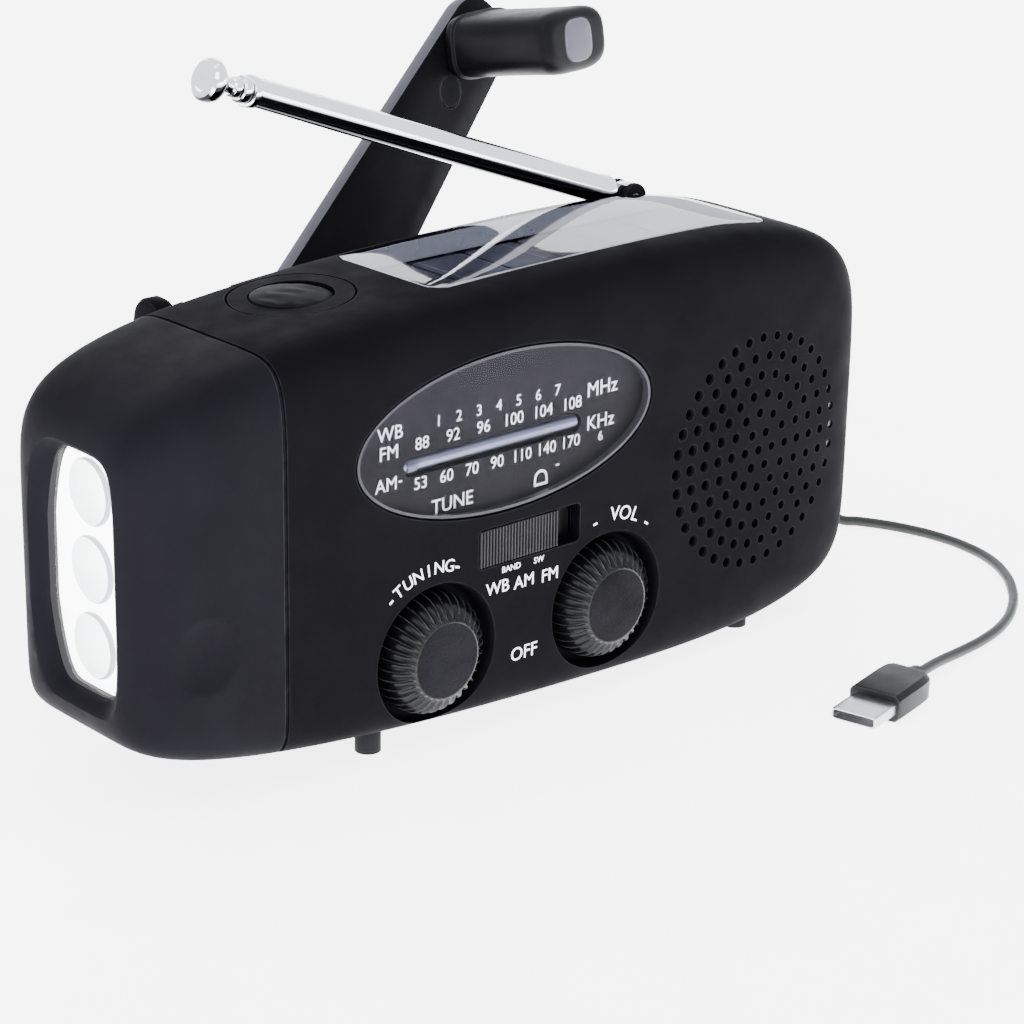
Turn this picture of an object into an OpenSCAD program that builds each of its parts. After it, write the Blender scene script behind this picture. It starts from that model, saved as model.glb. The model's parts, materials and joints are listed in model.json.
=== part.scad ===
// Hand-crank emergency radio: AM/FM/weather receiver with a torch head, a solar panel on
// top, a folding crank on the back and a telescopic aerial.
// Frame: X along the radio (torch head at -X), Y front to back (dial faces -Y), Z up.
// The origin is on the table, under the middle of the radio.

/* [Case] */
// Front face to back face of the case
case_depth = 34.6; // [32:0.2:38]
// Height of the top of the case above the table
case_top = 61.8; // [61.4:0.2:62.2]
// Wall thickness of the mouldings
wall = 2; // [1.6:0.1:2.4]
// Right end of the case
right_end = 65.2; // [65:0.1:66]
// Left end of the torch head
left_end = -64.6; // [-66:0.2:-64]
// Where the torch head meets the case
head_seam = -44; // [-45:0.5:-43]

/* [Front controls] */
// Height of both knob centres
knob_z = 13.8; // [13:0.1:14]
// Tuning knob position along the case
tuning_x = -19.6; // [-21:0.2:-19]
// Volume knob position along the case
volume_x = 11.4; // [11:0.2:13]
// Radius over the knob flutes
knob_r = 8.6; // [8:0.1:9]
// Knob face height above the front panel
knob_proud = 2.5; // [2:0.1:3.5]
// Half length of the oval dial window
dial_a = 25.8; // [24:0.2:26]
// Half height of the oval dial window
dial_b = 11; // [10:0.2:11.4]

/* [Loudspeaker] */
// Loudspeaker position along the case
speaker_x = 41.3; // [40:0.1:42]
// Loudspeaker height above the table
speaker_z = 29.6; // [28:0.1:31]
// Distance between the rings of grille holes
grille_pitch = 2.82; // [2.6:0.02:2.9]
// Diameter of one grille hole
grille_hole = 1.3; // [1:0.1:1.6]

/* [Crank] */
// Crank angle above the horizontal as the radio stands
crank_angle = 38.4; // [30:0.2:60]
// How far the arm is opened away from the back of the case
crank_lean = 15; // [15:1:25]
// Hinge pin to grip axle
crank_reach = 71.5; // [70:0.5:72]
// Thickness of the crank arm
arm_t = 2.6; // [2.4:0.1:2.8]
// Length of the crank grip
grip_len = 18.6; // [17:0.2:19]

/* [Aerial] */
// Aerial angle above the horizontal as the radio stands
aerial_angle = 19.7; // [5:0.1:40]
// Hinge pin to the tip of the closed aerial
aerial_len = 82; // [81:0.5:84]
// Outer radius of the largest tube
aerial_r = 2.15; // [2:0.05:2.2]

/* [Charging lead] */
// Outer diameter of the lead
lead_d = 1.6; // [1.5:0.1:1.8]

/* [Hidden] */
$fn = 48;

// Colours
black = [0.11, 0.11, 0.13];
charcoal = [0.18, 0.17, 0.21];
steel = [0.75, 0.76, 0.79];
brass = [0.72, 0.58, 0.28];
board_green = [0.08, 0.32, 0.18];

// Case form: rounded outlines about one middle point
mid_x = 12;
mid_z = 31.3;
half_d = case_depth / 2;
case_bottom = 0.5;
split_y = 13.4;
arch_x = 24;
top_arch = 1300;
low_x = 51;
bottom_arch = 2450;
// Squareness of the corners: top right, top left, bottom left, bottom right
corner_power = [6.3, 5.5, 9, 3.7];
plan_power = 8.3;
face_power = 9;
outline_steps = 36;

// Running and sliding clearances
run = 0.06;
slip = 0.15;
gap = 0.3;

// Front controls
knob_well_r = 9.9;
knob_well_floor = -half_d + 3.3;
knob_flutes = 36;
shaft_r = 3;
dial_x = -7.1;
dial_z = 42.9;
window_back = -half_d + 1.3;
pointer_z = 41;
pointer_left = -23.5;
pointer_slot = [-25, 7];
slider_slot = [-12.5, 5.9];
slider_z = 27;
slider_h = 5.6;
slider_len = 14.2;
panel_back = -half_d + wall;
rear_inside = half_d - wall - 0.12;

// Top button
button_x = -27.9;
button_y = 2.7;
button_r = 5.6;
bezel_r = 8.4;
button_top = 59.7;
button_travel = 1.5;

// Solar panel
solar_x = [-12.5, 50];
solar_y = [-7.7, 12.2];
solar_floor = 57.4;
solar_t = 1;

// Torch
lens_z = 30.8;
lens_h = 29.6;
lens_w = 16.2;
lens_end_w = 13.4;
cup_pitch = 9.9;
cup_r = 4.4;
lens_back = -60.6;
reflector_back = -54;
head_screw_z = 49;

// Main board and the parts on it
board_y = [-3.6, -2];
board_x = [-41, 20];
board_z = [8, 51.4];

// Crank, hinged on a hub that turns on the drive shaft
hub_x = -17.9;
hub_z = 37;
hub_r = 9;
hub_shaft_r = 2.5;
hub_face = half_d + 3.1;
pin_y = hub_face + 0.1 + 2.1;
ear_in = 5.1;
ear_out = 7.4;
pin_r = 1;
axle_r = 1.5;
knuckle_r = 2.1;
arm_root = 11;
arm_taper = 3.9 / 70;
from_knuckle = 4;
cap_r = 3.3;
grip_a = 8;
grip_b = 4.9;
pocket = [2 * grip_a + 1.4, 2 * grip_b + 1.4];
pocket_floor = 1;

// Gear train: 28 to 12 teeth, then 30 to 10 teeth
ferrite = [7, 13];
mod_1 = 0.7;
mod_2 = 0.5;
drive_teeth = 28;
idler_pinion_teeth = 12;
idler_wheel_teeth = 30;
rotor_teeth = 10;
idler_x = hub_x + mod_1 * (drive_teeth + idler_pinion_teeth) / 2;
rotor_x = idler_x + mod_2 * (idler_wheel_teeth + rotor_teeth) / 2;
gear_1_y = [11.2, 14.2];
gear_2_y = [7.6, 9.8];
plate_y = [4.6, 6];
can_r = 8.2;

// Aerial, hinged at the right of the rear top edge
aerial_x = 44.8;
aerial_y = 15.4;
aerial_z = 60.1;
tube_from = 4;
tube_to = 71.8;
section_r = [2.15, 1.6, 1.15, 0.75];
aerial_travel = 60;

// Strap lug on the back
lug_x = [-41.3, -37.5];
lug_z = 53.4;

feet_x = [-26.5, 44];

// Charging output on the right end, charging input on the back
port_y = 10.5;
usb_z = 22.4;
usb_in = 51;
plug_end = 74.5;
relief_end = 79;
charge_x = 38;
charge_z = 25.2;

// The lead's route: out of the plug, down to the table and round to the front
lead_rest_z = lead_d / 2 + 0.05;
lead_route = [
  [relief_end, port_y, usb_z], [82, port_y, usb_z], [84.4, 10.5, 21.6], [86.2, 10.5, 19],
  [87, 10.6, 14.6], [87.2, 10.6, 9.6], [87.3, 10.4, 5.2], [87.5, 9.6, 2.2], [88.2, 7.6, lead_rest_z],
  [89.8, 5, lead_rest_z], [91.7, 1.6, lead_rest_z], [93.4, -2.8, lead_rest_z],
  [94.5, -8, lead_rest_z], [94.5, -14, lead_rest_z], [93.1, -19.8, lead_rest_z],
  [90.2, -25.2, lead_rest_z], [85.8, -30.4, lead_rest_z], [80, -35.2, lead_rest_z],
  [73.4, -38.8, lead_rest_z], [66.6, -40.9, lead_rest_z + 0.1], [59.8, -42.2, lead_rest_z + 0.4],
  [53.4, -43.4, lead_rest_z + 0.9], [47, -45, lead_rest_z + 1.3]
];
device_end = lead_route[len(lead_route) - 1];
device_turn = 194;

// ---------- outlines ----------

function sgn_pow(v, p) = sign(v) * pow(abs(v), p);

// Half height of the case above or below its middle, with the gentle arch along X
function half_height(x, up, inset) = up
  ? case_top - mid_z - inset - pow(x - arch_x, 2) / top_arch
  : mid_z - case_bottom - inset - pow(min(x - low_x, 0), 2) / bottom_arch;

// Point of the front outline at angle t
function front_point(t, inset) =
  let (
    reach = (cos(t) > 0 ? right_end - mid_x : mid_x - left_end) - inset,
    power = corner_power[floor(t / 90) % 4],
    x = mid_x + reach * sgn_pow(cos(t), 2 / power),
    lift = pow(abs(sin(t)), 2 / power)
  ) [x, mid_z + (sin(t) >= 0 ? 1 : -1) * lift * half_height(x, sin(t) >= 0, inset)];

function front_outline(inset) =
  [for (i = [0 : outline_steps - 1]) front_point((i + 0.5) * 360 / outline_steps, inset)];

// Rounded rectangle outline of half sizes a and b
function soft_box(a, b, power) = [
  for (i = [0 : outline_steps - 1])
    let (t = (i + 0.5) * 360 / outline_steps)
      [a * sgn_pow(cos(t), 2 / power), b * sgn_pow(sin(t), 2 / power)]
];

function oval(a, b) = [for (i = [0 : 47]) [a * cos(i * 7.5), b * sin(i * 7.5)]];

function arc(c, r, from, to, steps) = [
  for (i = [0 : steps])
    let (t = from + (to - from) * i / steps)
      [c[0] + r * cos(t), c[1] + r * sin(t)]
];

// Outline of a straight-flanked gear; phase turns it by that part of a tooth
function gear_outline(teeth, m, phase) = [
  for (i = [0 : teeth - 1])
    for (p = [[-0.27, -1.2], [-0.085, 0.85], [0.085, 0.85], [0.27, -1.2]])
      let (r = m * teeth / 2 + p[1] * m, t = (i + phase + p[0]) * 360 / teeth)
        [r * cos(t), r * sin(t)]
];

// Outline with shallow flutes all round
function fluted_outline(r, flutes, depth) = [
  for (i = [0 : flutes * 4 - 1])
    let (rr = r - depth * (i % 4 == 0 ? 1 : i % 4 == 2 ? 0 : 0.3), t = i * 90 / flutes)
      [rr * cos(t), rr * sin(t)]
];

// ---------- shared solids ----------

module block(lo, hi) {
  translate(lo) cube([hi[0] - lo[0], hi[1] - lo[1], hi[2] - lo[2]]);
}

// Rod along +Y from y0 to y1
module rod_y(x, z, r, y0, y1) {
  translate([x, y0, z]) rotate([-90, 0, 0]) cylinder(r = r, h = y1 - y0);
}

// Rod along +X from x0 to x1
module rod_x(y, z, r, x0, x1) {
  translate([x0, y, z]) rotate([0, 90, 0]) cylinder(r = r, h = x1 - x0);
}

// Plate with an outline in the XZ plane, from y0 to y1
module plate_y(outline, y0, y1) {
  translate([0, y1, 0]) rotate([90, 0, 0]) linear_extrude(height = y1 - y0) polygon(outline);
}

// Plate with an outline in the YZ plane, from x0 to x1
module plate_x(outline, x0, x1) {
  translate([x0, 0, 0]) rotate([90, 0, 90]) linear_extrude(height = x1 - x0) polygon(outline);
}

// The whole outer form of case and torch head, shrunk by inset
module body_form(inset) {
  half_l = (right_end - left_end) / 2 - inset;
  intersection() {
    plate_y(front_outline(inset), -half_d, half_d);
    translate([left_end + half_l + inset, 0, -1]) linear_extrude(height = 70)
      polygon(soft_box(half_l, half_d - inset, plan_power));
    translate([0, 0, (case_top + case_bottom) / 2])
      plate_x(soft_box(half_d - inset, (case_top - case_bottom) / 2 - inset, face_power),
              left_end - 1, right_end + 1);
  }
}

// ---------- case ----------

module case_bounds(y0, y1) {
  block([head_seam, y0, -1], [right_end + 1, y1, 70]);
}

boss_r = 2.6;
boss_places = [[-36.5, 11], [-36.5, 44.6], [24, 52], [56, 52], [20.5, 23.2]];

module knob_well(x) {
  rod_y(x, knob_z, knob_well_r + 1.2, -half_d + 0.6, knob_well_floor + 1.4);
}

module knob_hole(x) {
  rod_y(x, knob_z, knob_well_r, -half_d - 1, knob_well_floor);
  rod_y(x, knob_z, shaft_r + 0.1, -half_d, 0);
}

module grille_holes() {
  for (ring = [0 : 6])
    for (i = [0 : max(0, 6 * ring - 1)])
      let (t = ring == 0 ? 0 : i * 60 / ring)
        rod_y(speaker_x + ring * grille_pitch * cos(t), speaker_z + ring * grille_pitch * sin(t),
              grille_hole / 2, -half_d - 1, panel_back + 1);
}

module aerial_channel() {
  rod_x(aerial_y, aerial_z, aerial_r + 0.45, -43, aerial_x - 2);
  rod_x(aerial_y, aerial_z, 3.3, aerial_x - aerial_len - 1, aerial_x - tube_to - 3);
  block([aerial_x - 4.4, aerial_y - 2.3, aerial_z - 4.6],
        [aerial_x + 4.4, half_d + 1, case_top + 4]);
}

module solar_recess() {
  block([solar_x[0], solar_y[0], solar_floor], [solar_x[1], solar_y[1], case_top + 2]);
}

module front_case() {
  color(black) difference() {
    intersection() {
      union() {
        difference() {
          body_form(0);
          body_form(wall);
        }
        knob_well(tuning_x);
        knob_well(volume_x);
        for (p = boss_places) rod_y(p[0], p[1], boss_r, panel_back, split_y);
        translate([button_x, button_y, button_top - 5.4]) cylinder(r = bezel_r + 1.2, h = 3.4);
        intersection() {
          body_form(wall / 2);
          union() {
            block([solar_x[0] - 1, solar_y[0] - 1, solar_floor - 1.2],
                  [solar_x[1] + 1, solar_y[1] + 1, case_top]);
            // bulkhead towards the torch head
            block([head_seam, -half_d, 0], [head_seam + 1.5, half_d, case_top]);
            // thick edge under the aerial
            block([-43, 10.8, 55.4], [56, split_y, case_top]);
            // wall round the charging output
            port_block(right_end - wall - 0.4, right_end, 4.4, 8.2);
          }
        }
      }
      body_form(0);
      case_bounds(-half_d - 1, split_y);
    }
    knob_hole(tuning_x);
    knob_hole(volume_x);
    translate([dial_x, 0, dial_z]) plate_y(oval(dial_a + 0.1, dial_b + 0.1), -half_d - 1, window_back);
    translate([dial_x, 0, dial_z]) plate_y(oval(dial_a - 1, dial_b - 1), -half_d - 1, -10);
    block([slider_slot[0], -half_d - 1, slider_z - slider_h / 2],
          [slider_slot[1], -10, slider_z + slider_h / 2]);
    grille_holes();
    solar_recess();
    translate([button_x, button_y, button_top - 3]) cylinder(r = bezel_r + 0.05, h = 10);
    translate([button_x, button_y, 40]) cylinder(r = button_r + slip, h = 30);
    aerial_channel();
    port_block(right_end - wall - 0.4, right_end + 1, 2.9, 6.6);
    // seats of the loudspeaker rim, dial card, slider plate, socket and grip cup
    rod_y(speaker_x, speaker_z, 18.3, panel_back, -8);
    translate([dial_x, 0, dial_z]) plate_y(oval(dial_a + 1.1, dial_b + 1.1), panel_back, panel_back + 2.6);
    block([slider_slot[0] - 4.6, panel_back, slider_z - 3.2],
          [slider_slot[1] + 4.6, panel_back + 1.1, slider_z + 4.2]);
    port_block(usb_in - 0.1, right_end - 1.2, 3.35, 7.05);
    grip_cup(1.3);
    rod_x(0, lens_z - 10, 2.5, head_seam - 1, head_seam + 3);
    for (s = [-1, 1]) rod_x(s * 11, head_screw_z, 1, head_seam - 1, head_seam + 3);
    for (p = boss_places) rod_y(p[0], p[1], 1, 0, split_y + 1);
  }
}

// Outer form of the cup behind the folded crank's grip, grown by wall thickness t
module grip_cup(t) {
  translate([hub_x + crank_reach, 0, hub_z])
    block([-pocket[0] / 2 - t, pocket_floor - t, -pocket[1] / 2 - t],
          [pocket[0] / 2 + t, half_d - 1, pocket[1] / 2 + t]);
}

module rear_case() {
  color(black) difference() {
    union() {
      intersection() {
        difference() {
          body_form(0);
          body_form(wall);
        }
        case_bounds(split_y, half_d + 1);
      }
      // blind cup that takes the folded crank's grip
      grip_cup(1.2);
      rod_y(hub_x, hub_z, hub_shaft_r + 2, gear_1_y[1] + 0.2, half_d - 1);
      intersection() {
        body_form(wall / 2);
        block([-43, split_y, 54.4], [56, half_d, case_top]);
      }
    }
    translate([hub_x + crank_reach, 0, hub_z])
      block([-pocket[0] / 2, pocket_floor, -pocket[1] / 2], [pocket[0] / 2, half_d + 1, pocket[1] / 2]);
    rod_y(hub_x, hub_z, hub_shaft_r + run, 0, half_d + 1);
    port_block(usb_in - 0.1, right_end - 1.2, 3.35, 7.05);
    block([charge_x - 1.5, 10, charge_z - 3.9], [charge_x + 1.5, half_d + 1, charge_z + 3.9]);
    block([charge_x - 4, half_d - 1.1, charge_z - 5.2], [charge_x + 5, half_d + 1, charge_z + 5.2]);
    aerial_channel();
    for (p = boss_places) {
      rod_y(p[0], p[1], 1.35, 10, half_d + 1);
      rod_y(p[0], p[1], 2.6, half_d - 1.1, half_d + 1);
    }
  }
}

module torch_head() {
  color(charcoal) difference() {
    intersection() {
      union() {
        difference() {
          body_form(0);
          body_form(wall);
        }
        // seat for the reflector behind the end face
        intersection() {
          body_form(wall / 2);
          block([left_end, -lens_w / 2 - 2, lens_z - lens_h / 2 - 2],
                [reflector_back, lens_w / 2 + 2, lens_z + lens_h / 2 + 2]);
        }
        for (s = [-1, 1]) rod_x(s * 11, head_screw_z, 2.2, -58, head_seam);
      }
      block([left_end - 1, -half_d - 1, -1], [head_seam, half_d + 1, 70]);
    }
    translate([0, 0, lens_z]) plate_x(lens_outline(0.1), left_end - 1, reflector_back);
    for (s = [-1, 1]) rod_x(s * 11, head_screw_z, 1, -55, head_seam + 1);
  }
}

// ---------- torch ----------

// Barrel-shaped outline, wider in the middle than at its ends
function lens_outline(grow) =
  let (bow = (lens_w - lens_end_w) / 2)
    concat(
      [for (i = [-6 : 6]) [lens_end_w / 2 + bow * cos(i * 15) + grow, i * (lens_h / 2 + grow) / 6]],
      [for (i = [-6 : 6]) [-lens_end_w / 2 - bow * cos(i * 15) - grow, -i * (lens_h / 2 + grow) / 6]]
    );

module torch_lens() {
  color([0.95, 0.97, 1, 0.5]) intersection() {
    translate([0, 0, lens_z]) plate_x(lens_outline(0), left_end, lens_back);
    body_form(0.5);
  }
}

module torch_reflector() {
  color("whitesmoke") difference() {
    translate([0, 0, lens_z]) plate_x(lens_outline(0), lens_back, reflector_back);
    for (i = [-1 : 1])
      translate([lens_back + 0.01, 0, lens_z + i * cup_pitch]) rotate([0, 90, 0])
        rotate_extrude() polygon([[0, 0], [cup_r, 0], [cup_r * 0.8, 3.4], [1.9, 5.6], [0, 5.6]]);
    for (i = [-1 : 1]) rod_x(0, lens_z + i * cup_pitch, 1.5, lens_back, reflector_back + 1);
  }
}

module torch_leds() {
  color("white") for (i = [-1 : 1]) {
    rod_x(0, lens_z + i * cup_pitch, 1.4, -58, reflector_back);
    translate([-58, 0, lens_z + i * cup_pitch]) rotate([0, 90, 0])
      rotate_extrude() intersection() {
        circle(r = 1.4);
        translate([0, -1.4]) square([1.4, 1.4 + 0.01]);
      }
  }
}

module led_board() {
  color(board_green)
    block([reflector_back, -8, lens_z - 16], [reflector_back + 1.4, 8, lens_z + 16]);
}

module head_screws() {
  color(steel) for (s = [-1, 1]) {
    rod_x(s * 11, head_screw_z, 1 - 0.05, -54, head_seam + 1.5);
    rod_x(s * 11, head_screw_z, 1.8, head_seam + 1.5, head_seam + 2.6);
  }
}

// ---------- dial ----------

module dial_window() {
  color([0.45, 0.44, 0.5, 0.5]) translate([dial_x, 0, dial_z])
    plate_y(oval(dial_a, dial_b), -half_d - 0.2, window_back);
}

module dial_scale() {
  color([0.2, 0.19, 0.22]) difference() {
    // card behind the window, cut away over the band slider
    translate([dial_x, 0, dial_z])
      plate_y(oval(dial_a + 1, dial_b + 1), panel_back, panel_back + 0.8);
    block([pointer_slot[0], panel_back - 1, pointer_z - 1], [pointer_slot[1], 0, pointer_z + 1]);
    block([slider_slot[0] - 5, panel_back - 1, 20], [slider_slot[1] + 5, 0, slider_z + 4]);
  }
}

module dial_pointer() {
  color("tomato") {
    block([pointer_left - 0.5, panel_back - 0.6, pointer_z - 4],
          [pointer_left + 0.5, panel_back - 0.2, pointer_z + 5]);
    block([pointer_left - 0.5, panel_back - 0.2, pointer_z - 0.7],
          [pointer_left + 0.5, panel_back + 2.4, pointer_z + 0.7]);
  }
}

// ---------- knobs and slider ----------

module knob(x) {
  translate([x, 0, knob_z]) {
    plate_y(fluted_outline(knob_r, knob_flutes, 0.7), knob_well_floor - 4.6, knob_well_floor - gap);
    rod_y(0, 0, knob_r - 1.2, -half_d - knob_proud + 0.3, knob_well_floor - 4.6);
    rod_y(0, 0, knob_r - 2.7, -half_d - knob_proud, -half_d - knob_proud + 0.3);
    rod_y(0, 0, shaft_r, knob_well_floor - gap, knob_well_floor + 4);
  }
}

module tuning_knob() {
  color(black) knob(tuning_x);
}

module volume_knob() {
  color(black) knob(volume_x);
}

module band_slider() {
  x0 = slider_slot[0] + 0.2;
  face = -half_d - 0.5;
  color(charcoal) {
    difference() {
      block([x0, face, slider_z - slider_h / 2 + 0.2],
            [x0 + slider_len, panel_back + 0.2, slider_z + slider_h / 2 - 0.2]);
      for (i = [1 : 9])
        block([x0 + i * slider_len / 10 - 0.3, face - 1, slider_z - slider_h],
              [x0 + i * slider_len / 10 + 0.3, face + 0.5, slider_z + slider_h]);
    }
    block([x0 - 4.4, panel_back + 0.2, slider_z - 3.1], [x0 + slider_len + 4.2, panel_back + 1, slider_z + 3.7]);
    block([x0 + 6, panel_back + 1, slider_z - 1], [x0 + 8, panel_back + 3, slider_z + 1]);
  }
}

// ---------- top button ----------

module button_bezel() {
  color(black) translate([button_x, button_y, button_top - 3]) difference() {
    union() {
      cylinder(r = bezel_r, h = 3);
      translate([0, 0, 3]) cylinder(r = bezel_r - 1, h = 0.5);
    }
    translate([0, 0, -1]) cylinder(r = button_r + slip, h = 6);
  }
}

module torch_button() {
  color(black) translate([button_x, button_y, 0]) {
    translate([0, 0, button_top - 5.6]) cylinder(r = button_r, h = 6.6);
    translate([0, 0, button_top - 6.6]) cylinder(r = button_r + 1, h = 1);
    translate([0, 0, button_top - 8]) cylinder(r = 1.4, h = 1.4);
  }
}

module button_spring() {
  color(steel) translate([button_x, button_y, button_top - 9.6]) difference() {
    cylinder(r = 3, h = 3);
    translate([0, 0, -1]) cylinder(r = 2.4, h = 5);
  }
}

module torch_switch() {
  color([0.2, 0.2, 0.22]) difference() {
    block([button_x - 5, board_y[1], 43.6], [button_x + 5, button_y + 4, button_top - 9.6]);
    translate([button_x, button_y, button_top - 10.6]) cylinder(r = 1.6, h = 5);
  }
}

// ---------- solar panel ----------

module solar_panel() {
  color([0.12, 0.13, 0.22])
    block([solar_x[0] + 0.2, solar_y[0] + 0.2, solar_floor],
          [solar_x[1] - 0.2, solar_y[1] - 0.2, solar_floor + solar_t]);
}

module solar_cover() {
  color([0.85, 0.87, 0.92, 0.4]) intersection() {
    body_form(0);
    block([solar_x[0] + 0.1, solar_y[0] + 0.1, solar_floor + solar_t],
          [solar_x[1] - 0.1, solar_y[1] - 0.1, case_top + 1]);
  }
}

// ---------- loudspeaker ----------

module speaker_frame() {
  color(steel) translate([speaker_x, 0, speaker_z]) difference() {
    union() {
      rod_y(0, 0, 18.2, panel_back, panel_back + 2.2);
      rod_y(0, 0, 14.5, panel_back + 2.2, panel_back + 4.4);
      rod_y(0, 0, 9, panel_back + 4.4, panel_back + 6.4);
    }
    rod_y(0, 0, 16.8, panel_back - 1, panel_back + 1.6);
    rod_y(0, 0, 13.4, panel_back, panel_back + 3.8);
  }
}

module speaker_cone() {
  color([0.15, 0.15, 0.16]) translate([speaker_x, panel_back, speaker_z]) rotate([-90, 0, 0])
    rotate_extrude() polygon([
      [0, 1.2], [3.4, 1.5], [4.4, 2.6], [13, 0.6], [16.7, 0.8],
      [16.7, 1.6], [13, 1.2], [4.6, 3.2], [3, 2.1], [0, 1.8]
    ]);
}

// ---------- circuit ----------

module main_board() {
  color(board_green) difference() {
    block([board_x[0], board_y[0], board_z[0]], [board_x[1], board_y[1], board_z[1]]);
    for (p = boss_places) rod_y(p[0], p[1], boss_r, board_y[0] - 1, board_y[1] + 1);
  }
}

module tuning_capacitor() {
  color("whitesmoke") difference() {
    block([tuning_x - 8, knob_well_floor + 1.6, knob_z - 7.5], [tuning_x + 8, board_y[0], knob_z + 7.5]);
    rod_y(tuning_x, knob_z, shaft_r + run, knob_well_floor, knob_well_floor + 4.4);
  }
}

module volume_control() {
  color([0.25, 0.25, 0.27]) difference() {
    rod_y(volume_x, knob_z, 7, knob_well_floor + 1.6, board_y[0]);
    rod_y(volume_x, knob_z, shaft_r + run, knob_well_floor, knob_well_floor + 4.4);
  }
}

module band_switch() {
  color(steel) difference() {
    block([-13, panel_back + 1.4, slider_z - 3], [6, board_y[0], slider_z + 3]);
    block([slider_slot[0] + 5.6, panel_back, slider_z - 1.3],
          [slider_slot[0] + 13, panel_back + 3.4, slider_z + 1.3]);
  }
}

module ferrite_rod() {
  color([0.2, 0.18, 0.18]) rod_x(ferrite[0], ferrite[1], 3.2, -33.2, -2);
}

module antenna_coil() {
  color(brass) difference() {
    rod_x(ferrite[0], ferrite[1], 4.3, -28, -14);
    rod_x(ferrite[0], ferrite[1], 3.2, -29, -13);
  }
}

module battery() {
  color([0.2, 0.45, 0.7]) {
    rod_x(6.8, 12.4, 6.9, 2, 46.5);
    rod_x(6.8, 12.4, 2.6, 46.5, 47.5);
  }
}

// Block of half sizes a along Y and b along Z round the charging output's middle
module port_block(x0, x1, a, b) {
  block([x0, port_y - a, usb_z - b], [x1, port_y + a, usb_z + b]);
}

module usb_socket() {
  color(steel) difference() {
    port_block(usb_in, right_end - wall - 0.4, 3.3, 7);
    port_block(usb_in + 1, right_end, 2.6, 6.3);
  }
}

module charge_socket() {
  color(steel) difference() {
    block([charge_x - 2, 9, charge_z - 4.4], [charge_x + 2, rear_inside, charge_z + 4.4]);
    block([charge_x - 1.3, 10, charge_z - 3.7], [charge_x + 1.3, half_d, charge_z + 3.7]);
  }
}

module port_cover() {
  color([0.09, 0.09, 0.1]) {
    block([charge_x - 3.8, half_d - 1, charge_z - 5], [charge_x + 4.2, half_d, charge_z + 5]);
    block([charge_x - 0.8, half_d - 2, charge_z - 3.4], [charge_x + 0.8, half_d - 1, charge_z + 3.4]);
    translate([charge_x + 4.2, half_d - 0.5, charge_z - 5]) cylinder(r = 0.5, h = 10);
  }
}

// ---------- generator ----------

standoffs = [[hub_x + 10.5, hub_z - 12.6], [hub_x + 10.5, hub_z + 12.6], [hub_x + 32, hub_z]];

module gearbox_plate() {
  color(steel) difference() {
    union() {
      block([-22.4, plate_y[0], 22], [17.4, plate_y[1], 51.4]);
      for (p = standoffs) rod_y(p[0], p[1], 2, plate_y[1], rear_inside);
    }
    rod_y(hub_x, hub_z, hub_shaft_r + run, plate_y[0] - 1, plate_y[1] + 1);
    rod_y(rotor_x, hub_z, 1 + run, plate_y[0] - 1, plate_y[1] + 1);
    rod_y(idler_x, hub_z, 1.2, plate_y[0] - 1, plate_y[1] + 1);
  }
}

module idler_axle() {
  color(steel) rod_y(idler_x, hub_z, 1.2, plate_y[0], rear_inside);
}

module drive_gear() {
  color("ivory") difference() {
    translate([hub_x, 0, hub_z])
      plate_y(gear_outline(drive_teeth, mod_1, 0), gear_1_y[0], gear_1_y[1]);
    rod_y(hub_x, hub_z, hub_shaft_r, gear_1_y[0] - 1, gear_1_y[1] + 1);
  }
}

module idler_gear() {
  color("ivory") difference() {
    translate([idler_x, 0, hub_z]) {
      plate_y(gear_outline(idler_pinion_teeth, mod_1, 0.5), gear_2_y[1], gear_1_y[1]);
      plate_y(gear_outline(idler_wheel_teeth, mod_2, 0), gear_2_y[0], gear_2_y[1]);
    }
    rod_y(idler_x, hub_z, 1.2 + run, gear_2_y[0] - 1, gear_1_y[1] + 1);
  }
}

module generator_rotor() {
  color(steel) {
    translate([rotor_x, 0, hub_z])
      plate_y(gear_outline(rotor_teeth, mod_2, 0.5), gear_2_y[0], gear_2_y[1]);
    rod_y(rotor_x, hub_z, 1, 0.4, gear_2_y[0]);
    rod_y(rotor_x, hub_z, 6.6, 0, 3.4);
  }
}

module generator_can() {
  color(steel) difference() {
    rod_y(rotor_x, hub_z, can_r, -1.6, plate_y[0]);
    rod_y(rotor_x, hub_z, can_r - 0.9, -0.7, plate_y[0] - 0.6);
    rod_y(rotor_x, hub_z, 1 + run, 0, plate_y[0] + 1);
  }
}

// ---------- crank ----------

// Places children in the hub's frame: X along the arm, Z along the hinge pin
module on_hub() {
  translate([hub_x, 0, hub_z]) rotate([0, -crank_angle, 0]) children();
}

// Places children in the arm's frame: origin on the hinge pin, arm along X
module on_arm() {
  on_hub() translate([0, pin_y, 0]) rotate([0, 0, crank_lean]) children();
}

module crank_hub() {
  color(charcoal) {
    rod_y(hub_x, hub_z, hub_shaft_r, plate_y[0], half_d + 0.2);
    rod_y(hub_x, hub_z, hub_r, half_d + 0.2, hub_face);
    on_hub() for (s = [-1, 1]) difference() {
      union() {
        translate([0, pin_y, s > 0 ? ear_in : -ear_out]) cylinder(r = knuckle_r, h = ear_out - ear_in);
        block([-knuckle_r, hub_face - 0.1, s > 0 ? ear_in : -ear_out],
              [knuckle_r, pin_y, s > 0 ? ear_out : -ear_in]);
      }
      translate([0, pin_y, -10]) cylinder(r = pin_r, h = 20);
    }
  }
}

module crank_hinge_pin() {
  color(steel) on_hub() translate([0, pin_y, -ear_out]) cylinder(r = pin_r, h = 2 * ear_out);
}

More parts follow.
